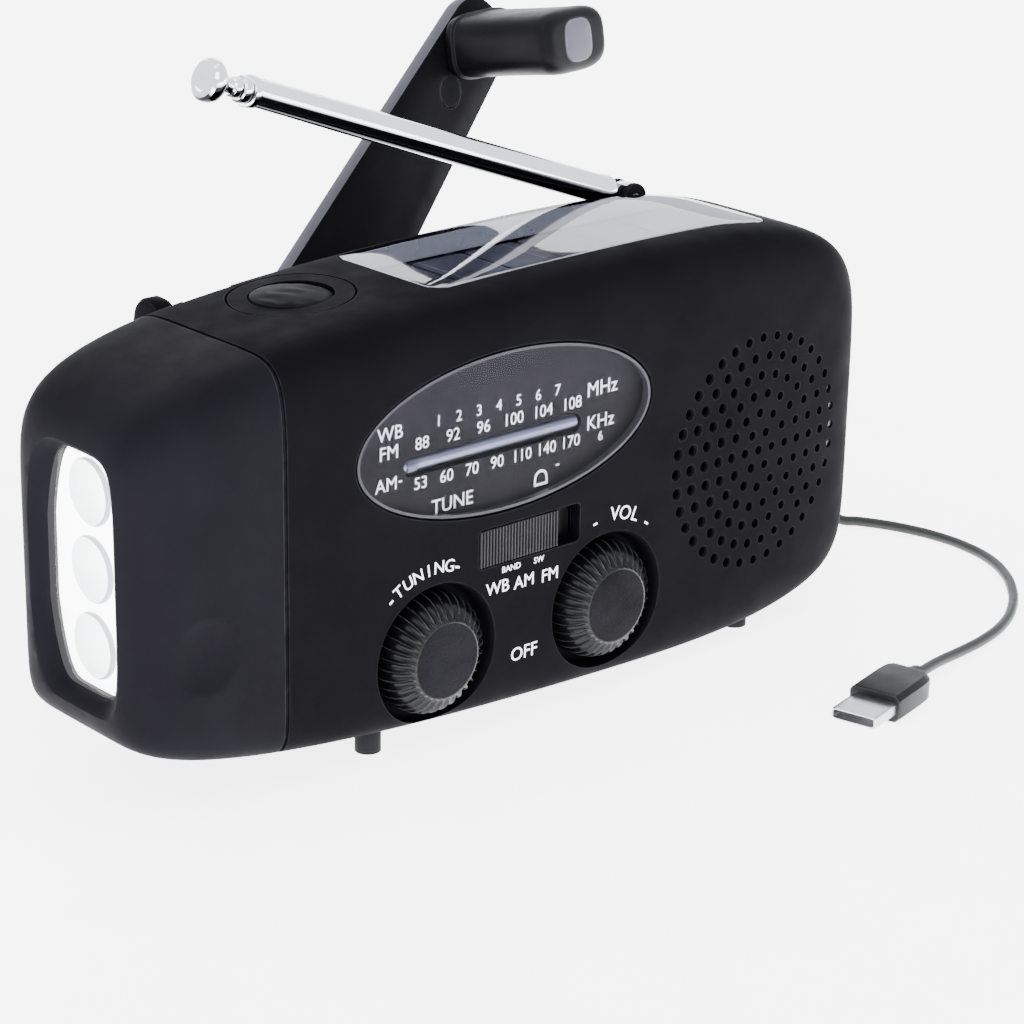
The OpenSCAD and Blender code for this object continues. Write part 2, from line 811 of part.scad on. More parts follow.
// Arm outline in its own plane, tapering to a round tip
function arm_outline() =
  let (from = knuckle_r + 1, tip = arm_root - arm_taper * crank_reach)
    concat(
      [[from, -arm_root + 2], [from + 2, -arm_root]],
      arc([crank_reach, 0], tip, -88, 88, 12),
      [[from + 2, arm_root], [from, arm_root - 2]]
    );

module crank_arm() {
  color(charcoal) on_arm() difference() {
    union() {
      plate_y(arm_outline(), -arm_t / 2, arm_t / 2);
      translate([0, 0, -ear_in + 0.1]) cylinder(r = knuckle_r, h = 2 * ear_in - 0.2);
      block([0, -arm_t / 2, -ear_in + 0.1], [from_knuckle, arm_t / 2, ear_in - 0.1]);
    }
    translate([0, 0, -10]) cylinder(r = pin_r + run, h = 20);
    rod_y(crank_reach, 0, axle_r, -arm_t, arm_t / 2 - 0.8);
    // shallow round sink in the inner face
    rod_y(crank_reach - 12.5, 0, 2.6, -arm_t, -arm_t / 2 + 0.3);
  }
}

module grip_axle() {
  color(steel) on_arm() {
    rod_y(crank_reach, 0, axle_r, -arm_t / 2 - grip_len + 1.6, arm_t / 2 - 0.8);
    rod_y(crank_reach, 0, axle_r + 1, -arm_t / 2 - grip_len + 0.4, -arm_t / 2 - grip_len + 1.6);
  }
}

module crank_grip() {
  inner = -arm_t / 2 - gap;
  outer = -arm_t / 2 - gap - grip_len;
  color(charcoal) on_arm() difference() {
    translate([crank_reach, 0, 0]) rotate([0, crank_angle, 0])
      plate_y(soft_box(grip_a, grip_b, 4), outer, inner);
    rod_y(crank_reach, 0, axle_r + run, outer - 1, inner + 1);
    rod_y(crank_reach, 0, axle_r + 1 + run, outer - 1, -arm_t / 2 - grip_len + 1.7);
    rod_y(crank_reach, 0, cap_r, outer - 1, outer + 0.5);
  }
}

// Flat plug that closes the end of the grip
module grip_end_cap() {
  outer = -arm_t / 2 - gap - grip_len;
  color([0.45, 0.44, 0.5]) on_arm() rod_y(crank_reach, 0, cap_r, outer - 0.2, outer + 0.5);
}

// ---------- aerial ----------

// Places children in the aerial's frame: origin on the hinge pin, aerial along -X
module on_aerial() {
  translate([aerial_x, aerial_y, aerial_z]) rotate([0, aerial_angle, 0]) children();
}

module antenna_bracket() {
  color(charcoal) difference() {
    union() {
      block([aerial_x - 4, aerial_y - 2.2, aerial_z - 4.6], [aerial_x + 4, aerial_y + 2.2, aerial_z - 2.6]);
      for (y = [aerial_y - 2.2, aerial_y + 1.3]) {
        block([aerial_x - 2.3, y, aerial_z - 2.7], [aerial_x + 2.3, y + 0.9, aerial_z]);
        rod_y(aerial_x, aerial_z, 2.3, y, y + 0.9);
      }
    }
    rod_y(aerial_x, aerial_z, 0.8, aerial_y - 3, aerial_y + 3);
  }
}

module antenna_pin() {
  color(steel) rod_y(aerial_x, aerial_z, 0.8, aerial_y - 2.2, aerial_y + 2.2);
}

module antenna_knuckle() {
  color(steel) on_aerial() difference() {
    union() {
      rod_y(0, 0, 2.2, -1.2, 1.2);
      block([-tube_from, -1.2, -1.6], [0, 1.2, 1.6]);
    }
    rod_y(0, 0, 0.8 + run, -2, 2);
  }
}

module antenna_tube() {
  color(steel) on_aerial() difference() {
    union() {
      rod_x(0, 0, aerial_r, -tube_to, -tube_from);
      rod_x(0, 0, aerial_r + 0.15, -tube_from - 1.2, -tube_from);
      rod_x(0, 0, aerial_r + 0.1, -tube_to, -tube_to + 1);
    }
    rod_x(0, 0, section_r[1] + run, -tube_to - 1, -tube_from - 1.5);
  }
}

// A sliding section: a tube that stands out of the one before it by a collar
module aerial_section(r, bore, from, to, collar) {
  color(steel) on_aerial() difference() {
    union() {
      rod_x(0, 0, r, -to, -from);
      rod_x(0, 0, r + 0.3, -to, -to + collar);
    }
    rod_x(0, 0, bore, -to - 1, -from - 1.5);
  }
}

module antenna_section_2() {
  aerial_section(section_r[1], section_r[2] + run, 8, tube_to + 2.4, 2.2);
}

module antenna_section_3() {
  aerial_section(section_r[2], section_r[3] + run, 10.5, tube_to + 4.4, 1.8);
}

module antenna_rod() {
  color(steel) on_aerial() rod_x(0, 0, section_r[3], -aerial_len + 2, -13);
}

module antenna_tip() {
  color(steel) on_aerial() translate([-aerial_len, 0, 0]) rotate([0, 90, 0])
    rotate_extrude() polygon([
      [0, 0], [2.2, 0], [2.8, 0.4], [3, 1], [2.9, 1.7], [2, 2.6], [1.4, 3.6],
      [1.3, 5.4], [section_r[3], 5.6], [section_r[3], 2], [0, 2]
    ]);
}

// ---------- small fixed parts ----------

module strap_lug() {
  color(black) difference() {
    union() {
      rod_x(half_d + 1.9, lug_z, 2.6, lug_x[0], lug_x[1]);
      block([lug_x[0], half_d - 1.4, lug_z - 2.6], [lug_x[1], half_d + 2, lug_z + 1.4]);
    }
    rod_x(half_d + 2, lug_z, 1.4, -50, -30);
  }
}

module feet() {
  color([0.07, 0.07, 0.08]) difference() {
    for (x = feet_x, y = [-11.5, 11.5]) translate([x, y, 0]) cylinder(r = 1.8, h = 4);
    body_form(0);
  }
}

module case_screws() {
  color(steel) for (p = boss_places) {
    rod_y(p[0], p[1], 1, 4, half_d - 1.1);
    rod_y(p[0], p[1], 2.2, half_d - 1.1, half_d - 0.1);
  }
}

// ---------- charging lead ----------

module usb_plug() {
  color(steel) difference() {
    port_block(usb_in + 2, right_end + 0.3, 2.25, 6);
    port_block(usb_in + 1, right_end - 3, 1.8, 5.5);
  }
  color([0.08, 0.08, 0.09]) translate([0, port_y, usb_z]) {
    plate_x(soft_box(3.7, 7.4, 8), right_end + 0.3, plug_end);
    plate_x(soft_box(2.2, 3, 4), plug_end, relief_end);
  }
}

module device_plug() {
  color([0.08, 0.08, 0.09]) translate(device_end) rotate([0, 0, device_turn]) {
    rotate([0, 90, 0]) cylinder(r = 1.6, h = 2.4);
    translate([2.4, -4, -2.1]) cube([11, 8, 4.2]);
  }
  color(steel) translate(device_end) rotate([0, 0, device_turn])
    translate([13.4, -3.4, -0.9]) cube([6, 6.8, 1.8]);
}

function unit(v) = v / norm(v);

// Ring of points round the lead's route at point i
lead_sides = 8;

function lead_ring(i) =
  let (
    last = len(lead_route) - 1,
    along = unit(lead_route[min(i + 1, last)] - lead_route[max(i - 1, 0)]),
    side = unit(cross(along, [0.13, 0.21, 0.97])),
    up = cross(side, along)
  ) [
    for (k = [0 : lead_sides - 1])
      lead_route[i] + lead_d / 2 * (cos(k * 360 / lead_sides) * side + sin(k * 360 / lead_sides) * up)
  ];

module charge_lead() {
  rings = len(lead_route);
  n = lead_sides;
  color([0.12, 0.12, 0.14]) polyhedron(
    points = [for (i = [0 : rings - 1]) each lead_ring(i)],
    faces = concat(
      [[for (k = [0 : n - 1]) k]],
      [for (i = [0 : rings - 2], k = [0 : n - 1])
        [i * n + k, (i + 1) * n + k, (i + 1) * n + (k + 1) % n, i * n + (k + 1) % n]],
      [[for (k = [n - 1 : -1 : 0]) (rings - 1) * n + k]]
    )
  );
}

front_case();
rear_case();
torch_head();
torch_lens();
torch_reflector();
torch_leds();
led_board();
dial_window();
dial_scale();
dial_pointer();
tuning_knob();
volume_knob();
band_slider();
button_bezel();
torch_button();
button_spring();
solar_cover();
solar_panel();
speaker_frame();
speaker_cone();
main_board();
tuning_capacitor();
volume_control();
band_switch();
torch_switch();
ferrite_rod();
antenna_coil();
battery();
usb_socket();
charge_socket();
port_cover();
gearbox_plate();
idler_axle();
crank_hub();
drive_gear();
idler_gear();
generator_rotor();
generator_can();
crank_hinge_pin();
crank_arm();
grip_axle();
crank_grip();
grip_end_cap();
antenna_bracket();
antenna_pin();
antenna_knuckle();
antenna_tube();
antenna_section_2();
antenna_section_3();
antenna_rod();
antenna_tip();
strap_lug();
feet();
case_screws();
head_screws();
usb_plug();
charge_lead();
device_plug();
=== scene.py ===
"""Looks of the hand-crank emergency radio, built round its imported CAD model.

Lengths are in millimetres in the CAD frame, and become metres where a mesh is made.
"""

import json
import math

import bmesh
import bpy
import numpy as np
from mathutils import Matrix, Vector


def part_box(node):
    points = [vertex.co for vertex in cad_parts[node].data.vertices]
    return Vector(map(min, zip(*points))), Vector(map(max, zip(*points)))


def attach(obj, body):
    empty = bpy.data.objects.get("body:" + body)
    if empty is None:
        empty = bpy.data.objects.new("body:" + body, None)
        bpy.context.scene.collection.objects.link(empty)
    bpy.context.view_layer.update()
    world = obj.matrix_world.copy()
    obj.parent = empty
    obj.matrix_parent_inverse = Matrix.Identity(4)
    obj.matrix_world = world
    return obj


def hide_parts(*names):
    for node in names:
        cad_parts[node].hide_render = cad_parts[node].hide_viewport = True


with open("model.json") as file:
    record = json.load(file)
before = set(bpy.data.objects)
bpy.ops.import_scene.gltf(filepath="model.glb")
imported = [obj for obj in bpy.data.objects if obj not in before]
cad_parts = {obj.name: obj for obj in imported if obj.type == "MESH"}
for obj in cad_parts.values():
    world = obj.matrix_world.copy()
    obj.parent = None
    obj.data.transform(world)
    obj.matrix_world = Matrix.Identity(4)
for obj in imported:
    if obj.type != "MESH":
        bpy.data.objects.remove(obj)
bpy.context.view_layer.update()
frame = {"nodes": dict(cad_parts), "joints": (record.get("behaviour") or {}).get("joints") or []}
NODES = frame["nodes"]
JOINTS = {joint["name"]: joint for joint in frame["joints"]}
MM = 0.001
SCENE = bpy.context.scene


# ---------- places taken from the frame ----------


def span(node):
    """Lowest and highest corner of a CAD node, in millimetres."""
    low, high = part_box(node)
    return low / MM, high / MM


def middle(node):
    low, high = span(node)
    return (low + high) / 2


def pivot(joint):
    return Vector(JOINTS[joint]["pos_m"]) / MM


TUNING = pivot("tuning_turn")
VOLUME = pivot("volume_turn")
HUB = pivot("crank_turn")
GRIP = pivot("grip_spin")
FOLD = pivot("crank_fold")
AERIAL = pivot("aerial_tilt")
PIN_AXIS = JOINTS["crank_fold"]["axis"]
CRANK_ANGLE = math.atan2(-PIN_AXIS[0], PIN_AXIS[2])
CRANK_LEAN = -math.radians(JOINTS["crank_fold"]["range_deg"][0])
AERIAL_ANGLE = -math.radians(JOINTS["aerial_tilt"]["range_deg"][0])
CRANK_REACH = (GRIP - FOLD).length
KNOB_FACE = span("tuning_knob")[0].y
KNOB_R = (span("tuning_knob")[1].x - span("tuning_knob")[0].x) / 2
SPEAKER = middle("speaker_frame")
BUTTON = middle("torch_button")
BUTTON_R = 5.6
BEZEL_R = (span("button_bezel")[1].x - span("button_bezel")[0].x) / 2
SOLAR_LOW, SOLAR_HIGH = span("solar_cover")
DIAL = middle("dial_window")
DIAL_A = (span("dial_window")[1].x - span("dial_window")[0].x) / 2
DIAL_B = (span("dial_window")[1].z - span("dial_window")[0].z) / 2
LENS = middle("torch_lens")
LENS_HALF_HEIGHT = (span("torch_lens")[1].z - span("torch_lens")[0].z) / 2

# Where the looks follow the photo a little away from the CAD
SOLAR_LOW += Vector((-1.2, -2.2, 0))
SOLAR_HIGH += Vector((0.8, 0, 0))
LENS += Vector((0, -0.6, 0.8))
LENS_HALF_HEIGHT += 1.2
PRINT_SHIFT = (1.15, -0.6)

# Limits clear of the case on every side
FAR_LEFT, FAR_RIGHT = -70, 70
FAR_FRONT, FAR_BACK = -20, 20
UNDER, OVER = -2, 66

# Case form
WALL = 2.0
LEFT_END, RIGHT_END = -65.8, 66.9
FORM_X, FORM_Z = 17.6, 31.3
HALF_DEPTH = 17.7
TOP_HEIGHT, TOP_PEAK_X, TOP_ARCH = 62.34, 29.4, 2984
BOTTOM_HEIGHT, BOTTOM_FLAT_X, BOTTOM_ARCH = 0.45, 51.6, 2444
HEAD_SEAM = -44.0
HEAD_GAP = 0.05
SPLIT_Y = 13.4
SPLIT_GAP = 0.03
WELL_FLOOR = -14.0
WELL_R = 9.9
CARD_FACE = -16.2
CARD_BACK = -14.5
CHANNEL = (-24.4, 7.0)
CHANNEL_Z = 40.8
CHANNEL_H = 2.7
RAIL_Y = -15.0
SLOT = (-12.5, 5.9)
SLIDER_Z = 27.0
SLIDER_H = 5.6
GRILLE_PITCH = 2.82
GRILLE_HOLE_R = 0.68
SOLAR_FLOOR = 57.4


# ---------- camera, as solved from the photo ----------

CAMERA_AT = (-259.51, -297.71, 169.71)
CAMERA_AZIMUTH, CAMERA_DIP, CAMERA_ROLL = -42.08, 20.15, 1.03
CAMERA_LENS = 105.47


def make_camera():
    data = bpy.data.cameras.new("camera")
    data.lens = CAMERA_LENS
    data.sensor_width = 36
    data.clip_start, data.clip_end = 0.01, 20
    camera = bpy.data.objects.new("camera", data)
    SCENE.collection.objects.link(camera)
    turn = Matrix.Rotation(math.radians(CAMERA_AZIMUTH), 4, "Z")
    tilt = Matrix.Rotation(math.radians(90 - CAMERA_DIP), 4, "X")
    roll = Matrix.Rotation(math.radians(CAMERA_ROLL), 4, "Z")
    camera.matrix_world = Matrix.Translation(Vector(CAMERA_AT) * MM) @ turn @ tilt @ roll
    SCENE.camera = camera


make_camera()


# ---------- materials ----------

MIX_FIRST, MIX_SECOND, MIX_RESULT = 6, 7, 2  # colour sockets of a Mix node
WORN_AND_HIGHLIT_EDGE = 0.35
COAT_ROUGHNESS = 0.04


def feed(tree, node, inputs):
    """Joins a node's inputs to sockets, or sets them to plain values."""
    for key, value in inputs.items():
        if isinstance(value, bpy.types.NodeSocket):
            tree.links.new(value, node.inputs[key])
        else:
            node.inputs[key].default_value = value
    return node


def add(tree, kind, inputs=None, **settings):
    """A new shader node with its settings and inputs."""
    node = tree.nodes.new("ShaderNode" + kind)
    for key, value in settings.items():
        setattr(node, key, value)
    return feed(tree, node, inputs or {})


def calculate(tree, operation, first, second=None, clamp=False):
    inputs = {0: first} if second is None else {0: first, 1: second}
    return add(tree, "Math", inputs, operation=operation, use_clamp=clamp).outputs[0]


def object_coords(tree):
    return add(tree, "TexCoord").outputs["Object"]


def axes(tree, vector):
    """The X, Y and Z outputs of a vector socket."""
    return add(tree, "SeparateXYZ", {"Vector": vector}).outputs


def noise(tree, size_mm, detail, stretch=None):
    """Noise in object space whose features are about size_mm across."""
    source = object_coords(tree)
    if stretch:
        source = add(tree, "Mapping", {"Scale": stretch, "Vector": source}).outputs["Vector"]
    return add(tree, "TexNoise", {"Scale": 1 / (size_mm * MM), "Detail": detail,
                                  "Roughness": 0.55, "Vector": source}).outputs["Fac"]


def ramp(tree, source, low, high, start=0.0, end=1.0):
    """Maps source from start..end to low..high, clamped."""
    return add(tree, "MapRange", {"From Min": start, "From Max": end, "To Min": low,
                                  "To Max": high, "Value": source}).outputs["Result"]


def mix_colour(tree, factor, first, second):
    first, second = [(*value, 1) if isinstance(value, tuple) else value
                     for value in (first, second)]
    return add(tree, "Mix", {"Factor": factor, MIX_FIRST: first, MIX_SECOND: second},
               data_type="RGBA").outputs[MIX_RESULT]


def edge_mask(tree, radius_mm):
    """1 near sharp edges, inner ones as well as outer, and 0 on flat faces."""
    bevel = add(tree, "Bevel", {"Radius": radius_mm * MM}, samples=4)
    geometry = add(tree, "NewGeometry")
    dot = add(tree, "VectorMath", {0: bevel.outputs["Normal"], 1: geometry.outputs["Normal"]},
              operation="DOT_PRODUCT")
    return ramp(tree, dot.outputs["Value"], 1.0, 0.0, 0.75, 0.99)


def bumps(tree, layers):
    """Chains bump layers, each a height source with its depth in millimetres."""
    inputs = {"Strength": 1.0}
    for height, depth in layers:
        inputs.update({"Distance": depth * MM, "Height": height})
        inputs["Normal"] = add(tree, "Bump", inputs).outputs["Normal"]
    return inputs["Normal"]


def new_material(name):
    material = bpy.data.materials.new(name)
    material.use_nodes = True
    return material, material.node_tree


def overlay(material, factor, colour):
    """Lays a colour over a finish's own colour, as far as factor says."""
    tree = material.node_tree
    shader = tree.nodes["Principled BSDF"]
    base = shader.inputs["Base Color"].links[0].from_socket
    feed(tree, shader, {"Base Color": mix_colour(tree, factor, base, colour)})
    return material


def surface(name, colour, rough, grain=(0.25, 0.012), tone=0.15, edge=None, metal=0.0,
            coat=0.0, specular=0.5, spread=0.06, stretch=None, glow=0.0):
    """A solid finish: colour clouds, uneven gloss, surface grain and lighter edges, partly wear and
    partly painted highlight.
    """
    material, tree = new_material(name)
    clouds = noise(tree, 14, 4)
    specks = noise(tree, grain[0] * 2.5, 2)
    dark = tuple(c * (1 - tone) for c in colour)
    light = tuple(min(1.0, c * (1 + tone)) for c in colour)
    speck = tuple(min(1.0, c * (1 + 1.5 * tone)) for c in colour)
    tint = mix_colour(tree, ramp(tree, clouds, 0, 1, 0.35, 0.65), dark, light)
    tint = mix_colour(tree, ramp(tree, specks, 0, 0.5, 0.5, 0.75), tint, speck)
    # lighter edges: partly wear, partly a painted highlight along the rims
    if edge:
        edge_patches = ramp(tree, noise(tree, 3, 4), 0.35, 1.0, 0.35, 0.6)
        worn_and_highlit = calculate(tree, "MULTIPLY", edge_mask(tree, WORN_AND_HIGHLIT_EDGE), edge_patches)
        tint = mix_colour(tree, worn_and_highlit, tint, edge)
    patches = noise(tree, 5, 3)
    fine = noise(tree, grain[0], 2, stretch)
    inputs = {"Base Color": tint, "Metallic": metal, "Specular IOR Level": specular,
              "Coat Weight": coat, "Coat Roughness": COAT_ROUGHNESS,
              "Roughness": ramp(tree, patches, rough - spread, rough + spread, 0.3, 0.7),
              "Normal": bumps(tree, [(clouds, grain[1] * 0.3), (fine, grain[1])])}
    if glow:
        inputs.update({"Emission Color": tint, "Emission Strength": glow})
    feed(tree, tree.nodes["Principled BSDF"], inputs)
    return material


def clear(name, tint, ior, skin_rough=0.03, glow=0.0):
    """Thin clear plastic: lets light straight through, tinted, under a glossy skin.

    Only outward faces have the skin. An inner face would act as a full mirror.
    """
    material, tree = new_material(name)
    tree.nodes.remove(tree.nodes["Principled BSDF"])
    clouds = ramp(tree, noise(tree, 12, 3), 0, 1, 0.3, 0.7)
    deeper = tuple(c * 0.94 for c in tint)
    through = add(tree, "BsdfTransparent", {"Color": mix_colour(tree, clouds, tint, deeper)})
    patches = ramp(tree, noise(tree, 4, 3), skin_rough, skin_rough * 2.5, 0.3, 0.7)
    skin = add(tree, "BsdfGlossy", {"Roughness": patches,
                                    "Normal": bumps(tree, [(noise(tree, 6, 2), 0.01)])})
    fresnel = add(tree, "Fresnel", {"IOR": ior}).outputs["Fac"]
    outward = ramp(tree, add(tree, "NewGeometry").outputs["Backfacing"], 1, 0)
    mix = add(tree, "MixShader", {"Fac": calculate(tree, "MULTIPLY", fresnel, outward),
                                  1: through.outputs["BSDF"], 2: skin.outputs["BSDF"]})
    result = mix.outputs["Shader"]
    if glow:
        light = add(tree, "Emission", {"Strength": glow}).outputs["Emission"]
        result = add(tree, "AddShader", {0: result, 1: light}).outputs["Shader"]
    feed(tree, tree.nodes["Material Output"], {"Surface": result})
    return material


def solar_cell_finish():
    """Blue-black cells with fine lines, one every 1.0 mm of Y and every 7.8 mm of X."""
    material = surface("solar_cells", (0.018, 0.018, 0.026), 0.35, grain=(0.5, 0.01),
                       tone=0.5, coat=0.3)
    tree = material.node_tree
    place = axes(tree, object_coords(tree))
    lines = []
    for axis, pitch, share in (("Y", 1.0, 0.06), ("X", 7.8, 0.05)):
        scaled = calculate(tree, "MULTIPLY", place[axis], 1 / (pitch * MM))
        lines.append(calculate(tree, "LESS_THAN", calculate(tree, "FRACT", scaled), share))
    return overlay(material, calculate(tree, "MAXIMUM", *lines), (0.16, 0.16, 0.18))


def dial_card_with_painted_reflection(low_z, high_z):
    """The printed dial card: a darker lower field and, above low_z to high_z, a lighter one, which
    is a painted reflection.
    """
    material = surface("dial_card", (0.0024, 0.0023, 0.0032), 0.5, grain=(0.2, 0.003), tone=0.06,
                       specular=0.1)
    tree = material.node_tree
    height = axes(tree, object_coords(tree))["Z"]
    painted_reflection_field = ramp(tree, height, 0, 1, low_z * MM, high_z * MM)
    # painted reflection: the lighter upper field
    return overlay(material, painted_reflection_field, (0.0085, 0.0079, 0.0105))


def chrome_with_painted_reflection(name):
    """Polished plate, with a painted reflection: darker where it looks down, in place of
    surroundings the scene lacks.
    """
    material = surface(name, (0.9, 0.9, 0.91), 0.06, grain=(0.6, 0.0015), tone=0.03, metal=1.0,
                       spread=0.03)
    tree = material.node_tree
    upward = axes(tree, add(tree, "NewGeometry").outputs["Normal"])["Z"]
    under = ramp(tree, upward, 0, 1, 0.02, -0.12)
    lowest = ramp(tree, upward, 1, 0, -0.88, -0.8)
    # painted reflection: a dark band on faces that look down, except the lowest
    band = calculate(tree, "SUBTRACT", under, lowest, clamp=True)
    return overlay(material, band, (0.012, 0.012, 0.015))


def strand_finish(name, colour, rough, pitch_mm):
    """Closely wound wire: ridges across the X axis, about twice pitch_mm apart."""
    material = surface(name, colour, rough, metal=0.8, tone=0.2)
    tree = material.node_tree
    wave = add(tree, "TexWave", {"Scale": 1 / (pitch_mm * MM) / 6.2,
                                 "Vector": object_coords(tree)})
    ridges = bumps(tree, [(wave.outputs["Fac"], 0.08)])
    feed(tree, tree.nodes["Principled BSDF"], {"Normal": ridges})
    return material


BLACK = surface("case_black", (0.0031, 0.0028, 0.0039), 0.62, grain=(0.3, 0.006), tone=0.12,
                edge=(0.022, 0.021, 0.027), specular=0.018)
HEAD = surface("head_charcoal", (0.0058, 0.0053, 0.0074), 0.6, grain=(0.3, 0.006), tone=0.12,
               edge=(0.035, 0.034, 0.043), specular=0.025)
KNOB_SIDE = surface("knob_gloss", (0.003, 0.003, 0.0034), 0.25, grain=(0.4, 0.003), tone=0.2,
                    edge=(0.045, 0.045, 0.05), specular=0.16)
KNOB_FACE_FINISH = surface("knob_stipple", (0.0032, 0.003, 0.0042), 0.65, grain=(0.2, 0.16),
                           tone=0.95, specular=0.05)
CRANK = surface("crank_charcoal", (0.0035, 0.0033, 0.0042), 0.55, grain=(0.22, 0.008), tone=0.2,
                edge=(0.03, 0.029, 0.036), specular=0.03)
# painted highlight: a lighter copy of the crank colour for the arm's side faces
CRANK_SIDE_PAINTED_HIGHLIGHT = surface("crank_side_painted_highlight", (0.05, 0.048, 0.062), 0.5, grain=(0.22, 0.008), tone=0.12,
                     edge=(0.14, 0.137, 0.16), specular=0.2)
GRIP_FINISH = surface("grip_black", (0.004, 0.0038, 0.005), 0.4, grain=(0.25, 0.008), tone=0.2,
                      edge=(0.05, 0.048, 0.06), specular=0.06)
CAP = surface("cap_grey", (0.075, 0.072, 0.095), 0.42, grain=(0.2, 0.006), tone=0.08,
              edge=(0.3, 0.29, 0.35), specular=0.3)
SLIDER = surface("slider_charcoal", (0.005, 0.0048, 0.005), 0.38, grain=(0.15, 0.01), tone=0.5,
                 edge=(0.035, 0.034, 0.035), stretch=(1, 1, 0.1), specular=0.2)
BUTTON_FINISH = surface("button_satin", (0.004, 0.0039, 0.0055), 0.5, grain=(0.5, 0.004), tone=0.2,
                        edge=(0.03, 0.03, 0.038), specular=0.02)
CHROME_PAINTED_REFLECTION = chrome_with_painted_reflection("chrome")
STEEL = surface("plated_steel", (0.5, 0.5, 0.52), 0.34, grain=(0.15, 0.01), tone=0.12,
                metal=1.0, edge=(0.75, 0.75, 0.77), stretch=(1, 1, 6))
RUBBER = surface("cover_rubber", (0.008, 0.008, 0.009), 0.7, grain=(0.3, 0.02), tone=0.2,
                 edge=(0.03, 0.03, 0.033), specular=0.1)
JACKET = surface("lead_jacket", (0.022, 0.024, 0.022), 0.42, grain=(0.3, 0.01), tone=0.12,
                 specular=0.2)
PLUG = surface("plug_black", (0.005, 0.005, 0.0055), 0.42, grain=(0.25, 0.012), tone=0.2,
               edge=(0.05, 0.048, 0.058), specular=0.15)
# painted light: the white print glows, though it is no lamp
PRINT_PAINTED_GLOW = surface("print_white", (0.85, 0.85, 0.87), 0.5, grain=(0.2, 0.002), tone=0.05, glow=0.9)
RAIL = surface("pointer_rail", (0.2, 0.22, 0.29), 0.22, grain=(0.5, 0.003), tone=0.1, metal=0.7)
POINTER = surface("pointer_silver", (0.1, 0.11, 0.14), 0.2, grain=(0.4, 0.003), tone=0.1,
                  metal=0.6)
BEVEL_RIM = surface("dial_bevel", (0.022, 0.021, 0.027), 0.22, grain=(0.4, 0.003), tone=0.15,
                    specular=0.25)
DIAL_CARD_PAINTED_REFLECTION = dial_card_with_painted_reflection(44.2, 44.8)
DIAL_GLASS = clear("dial_glass", (0.93, 0.92, 0.95), 1.12)
SOLAR_GLASS = clear("solar_glass", (0.8, 0.81, 0.86), 2.3, skin_rough=0.015)
# painted light: the clear lens glows faintly, though it is no lamp
LENS_CLEAR_PAINTED_GLOW = clear("clear_lens", (1.0, 1.0, 1.0), 1.2, glow=0.05)
# painted light: the reflector glows brightly, though it is no lamp
REFLECTOR_PAINTED_GLOW = surface("reflector", (0.92, 0.93, 0.95), 0.2, grain=(0.6, 0.004), tone=0.02, glow=9)
# painted shade and glow: a dimmer copy of the reflector for the cup walls
CUP_WALL_PAINTED_SHADE = surface("cup_wall_painted_shade", (0.88, 0.89, 0.92), 0.25, grain=(0.6, 0.004), tone=0.06, glow=1.1)
# painted shade: grey crescents on the cup mouths, with a faint glow
CUP_RIM_PAINTED_SHADE = surface("cup_rim_painted_shade", (0.45, 0.45, 0.5), 0.4, grain=(0.4, 0.004), tone=0.12, glow=0.3)
LED = surface("led_white", (0.95, 0.95, 0.9), 0.2, grain=(0.4, 0.004), tone=0.03, glow=12)
CELLS = solar_cell_finish()
SILVER = surface("silver_border", (0.75, 0.76, 0.8), 0.25, grain=(0.4, 0.003), tone=0.08,
                 metal=0.6)
SHADOW = surface("inner_black", (0.003, 0.003, 0.004), 0.8, tone=0.1, specular=0.1)
BOARD = surface("circuit_board", (0.02, 0.12, 0.05), 0.35, grain=(0.8, 0.03), tone=0.35,
                edge=(0.3, 0.28, 0.15), coat=0.3)
CONE = surface("paper_cone", (0.02, 0.02, 0.022), 0.85, grain=(0.35, 0.05), tone=0.3)
CAPACITOR = surface("capacitor_white", (0.65, 0.65, 0.62), 0.35, tone=0.08, edge=(0.8, 0.8, 0.78))
COMPONENT = surface("component_grey", (0.05, 0.05, 0.055), 0.55, tone=0.15, edge=(0.12, 0.12, 0.13))
WIRE = strand_finish("copper_wire", (0.72, 0.36, 0.14), 0.3, 0.3)
WRAP = surface("battery_wrap", (0.05, 0.16, 0.4), 0.28, grain=(1.2, 0.02), tone=0.12, coat=0.4)
NYLON = surface("gear_white", (0.72, 0.69, 0.6), 0.45, grain=(0.2, 0.01), tone=0.08,
                edge=(0.85, 0.82, 0.74))


# ---------- mesh building ----------


def piece_from(name, verts, faces, place=None):
    """A mesh object from millimetre points, moved by place, with its normals outward."""
    matrix = place or Matrix.Identity(4)
    mesh = bpy.data.meshes.new(name)
    mesh.from_pydata([matrix @ Vector(v) * MM for v in verts], [], faces)
    shape = bmesh.new()
    shape.from_mesh(mesh)
    bmesh.ops.recalc_face_normals(shape, faces=shape.faces)
    shape.to_mesh(mesh)
    shape.free()
    obj = bpy.data.objects.new(name, mesh)
    SCENE.collection.objects.link(obj)
    return obj


def loft(name, rings, place=None, closed=False):
    """A skin over rings of points. A ring of one point is a tip."""
    verts, faces, starts = [], [], []
    for ring in rings:
        starts.append(len(verts))
        verts.extend(ring)
    count = len(rings)
    for i in range(count if closed else count - 1):
        a, b = i, (i + 1) % count
        first, second = len(rings[a]), len(rings[b])
        sides = max(first, second)
        for k in range(sides):
            n = (k + 1) % sides
            if first == 1:
                faces.append((starts[a], starts[b] + k, starts[b] + n))
            elif second == 1:
                faces.append((starts[a] + k, starts[b], starts[a] + n))
            else:
                faces.append((starts[a] + k, starts[b] + k, starts[b] + n, starts[a] + n))
    if not closed:
        for i in (0, count - 1):
            if len(rings[i]) > 2:
                faces.append([starts[i] + k for k in range(len(rings[i]))])
    return piece_from(name, verts, faces, place)


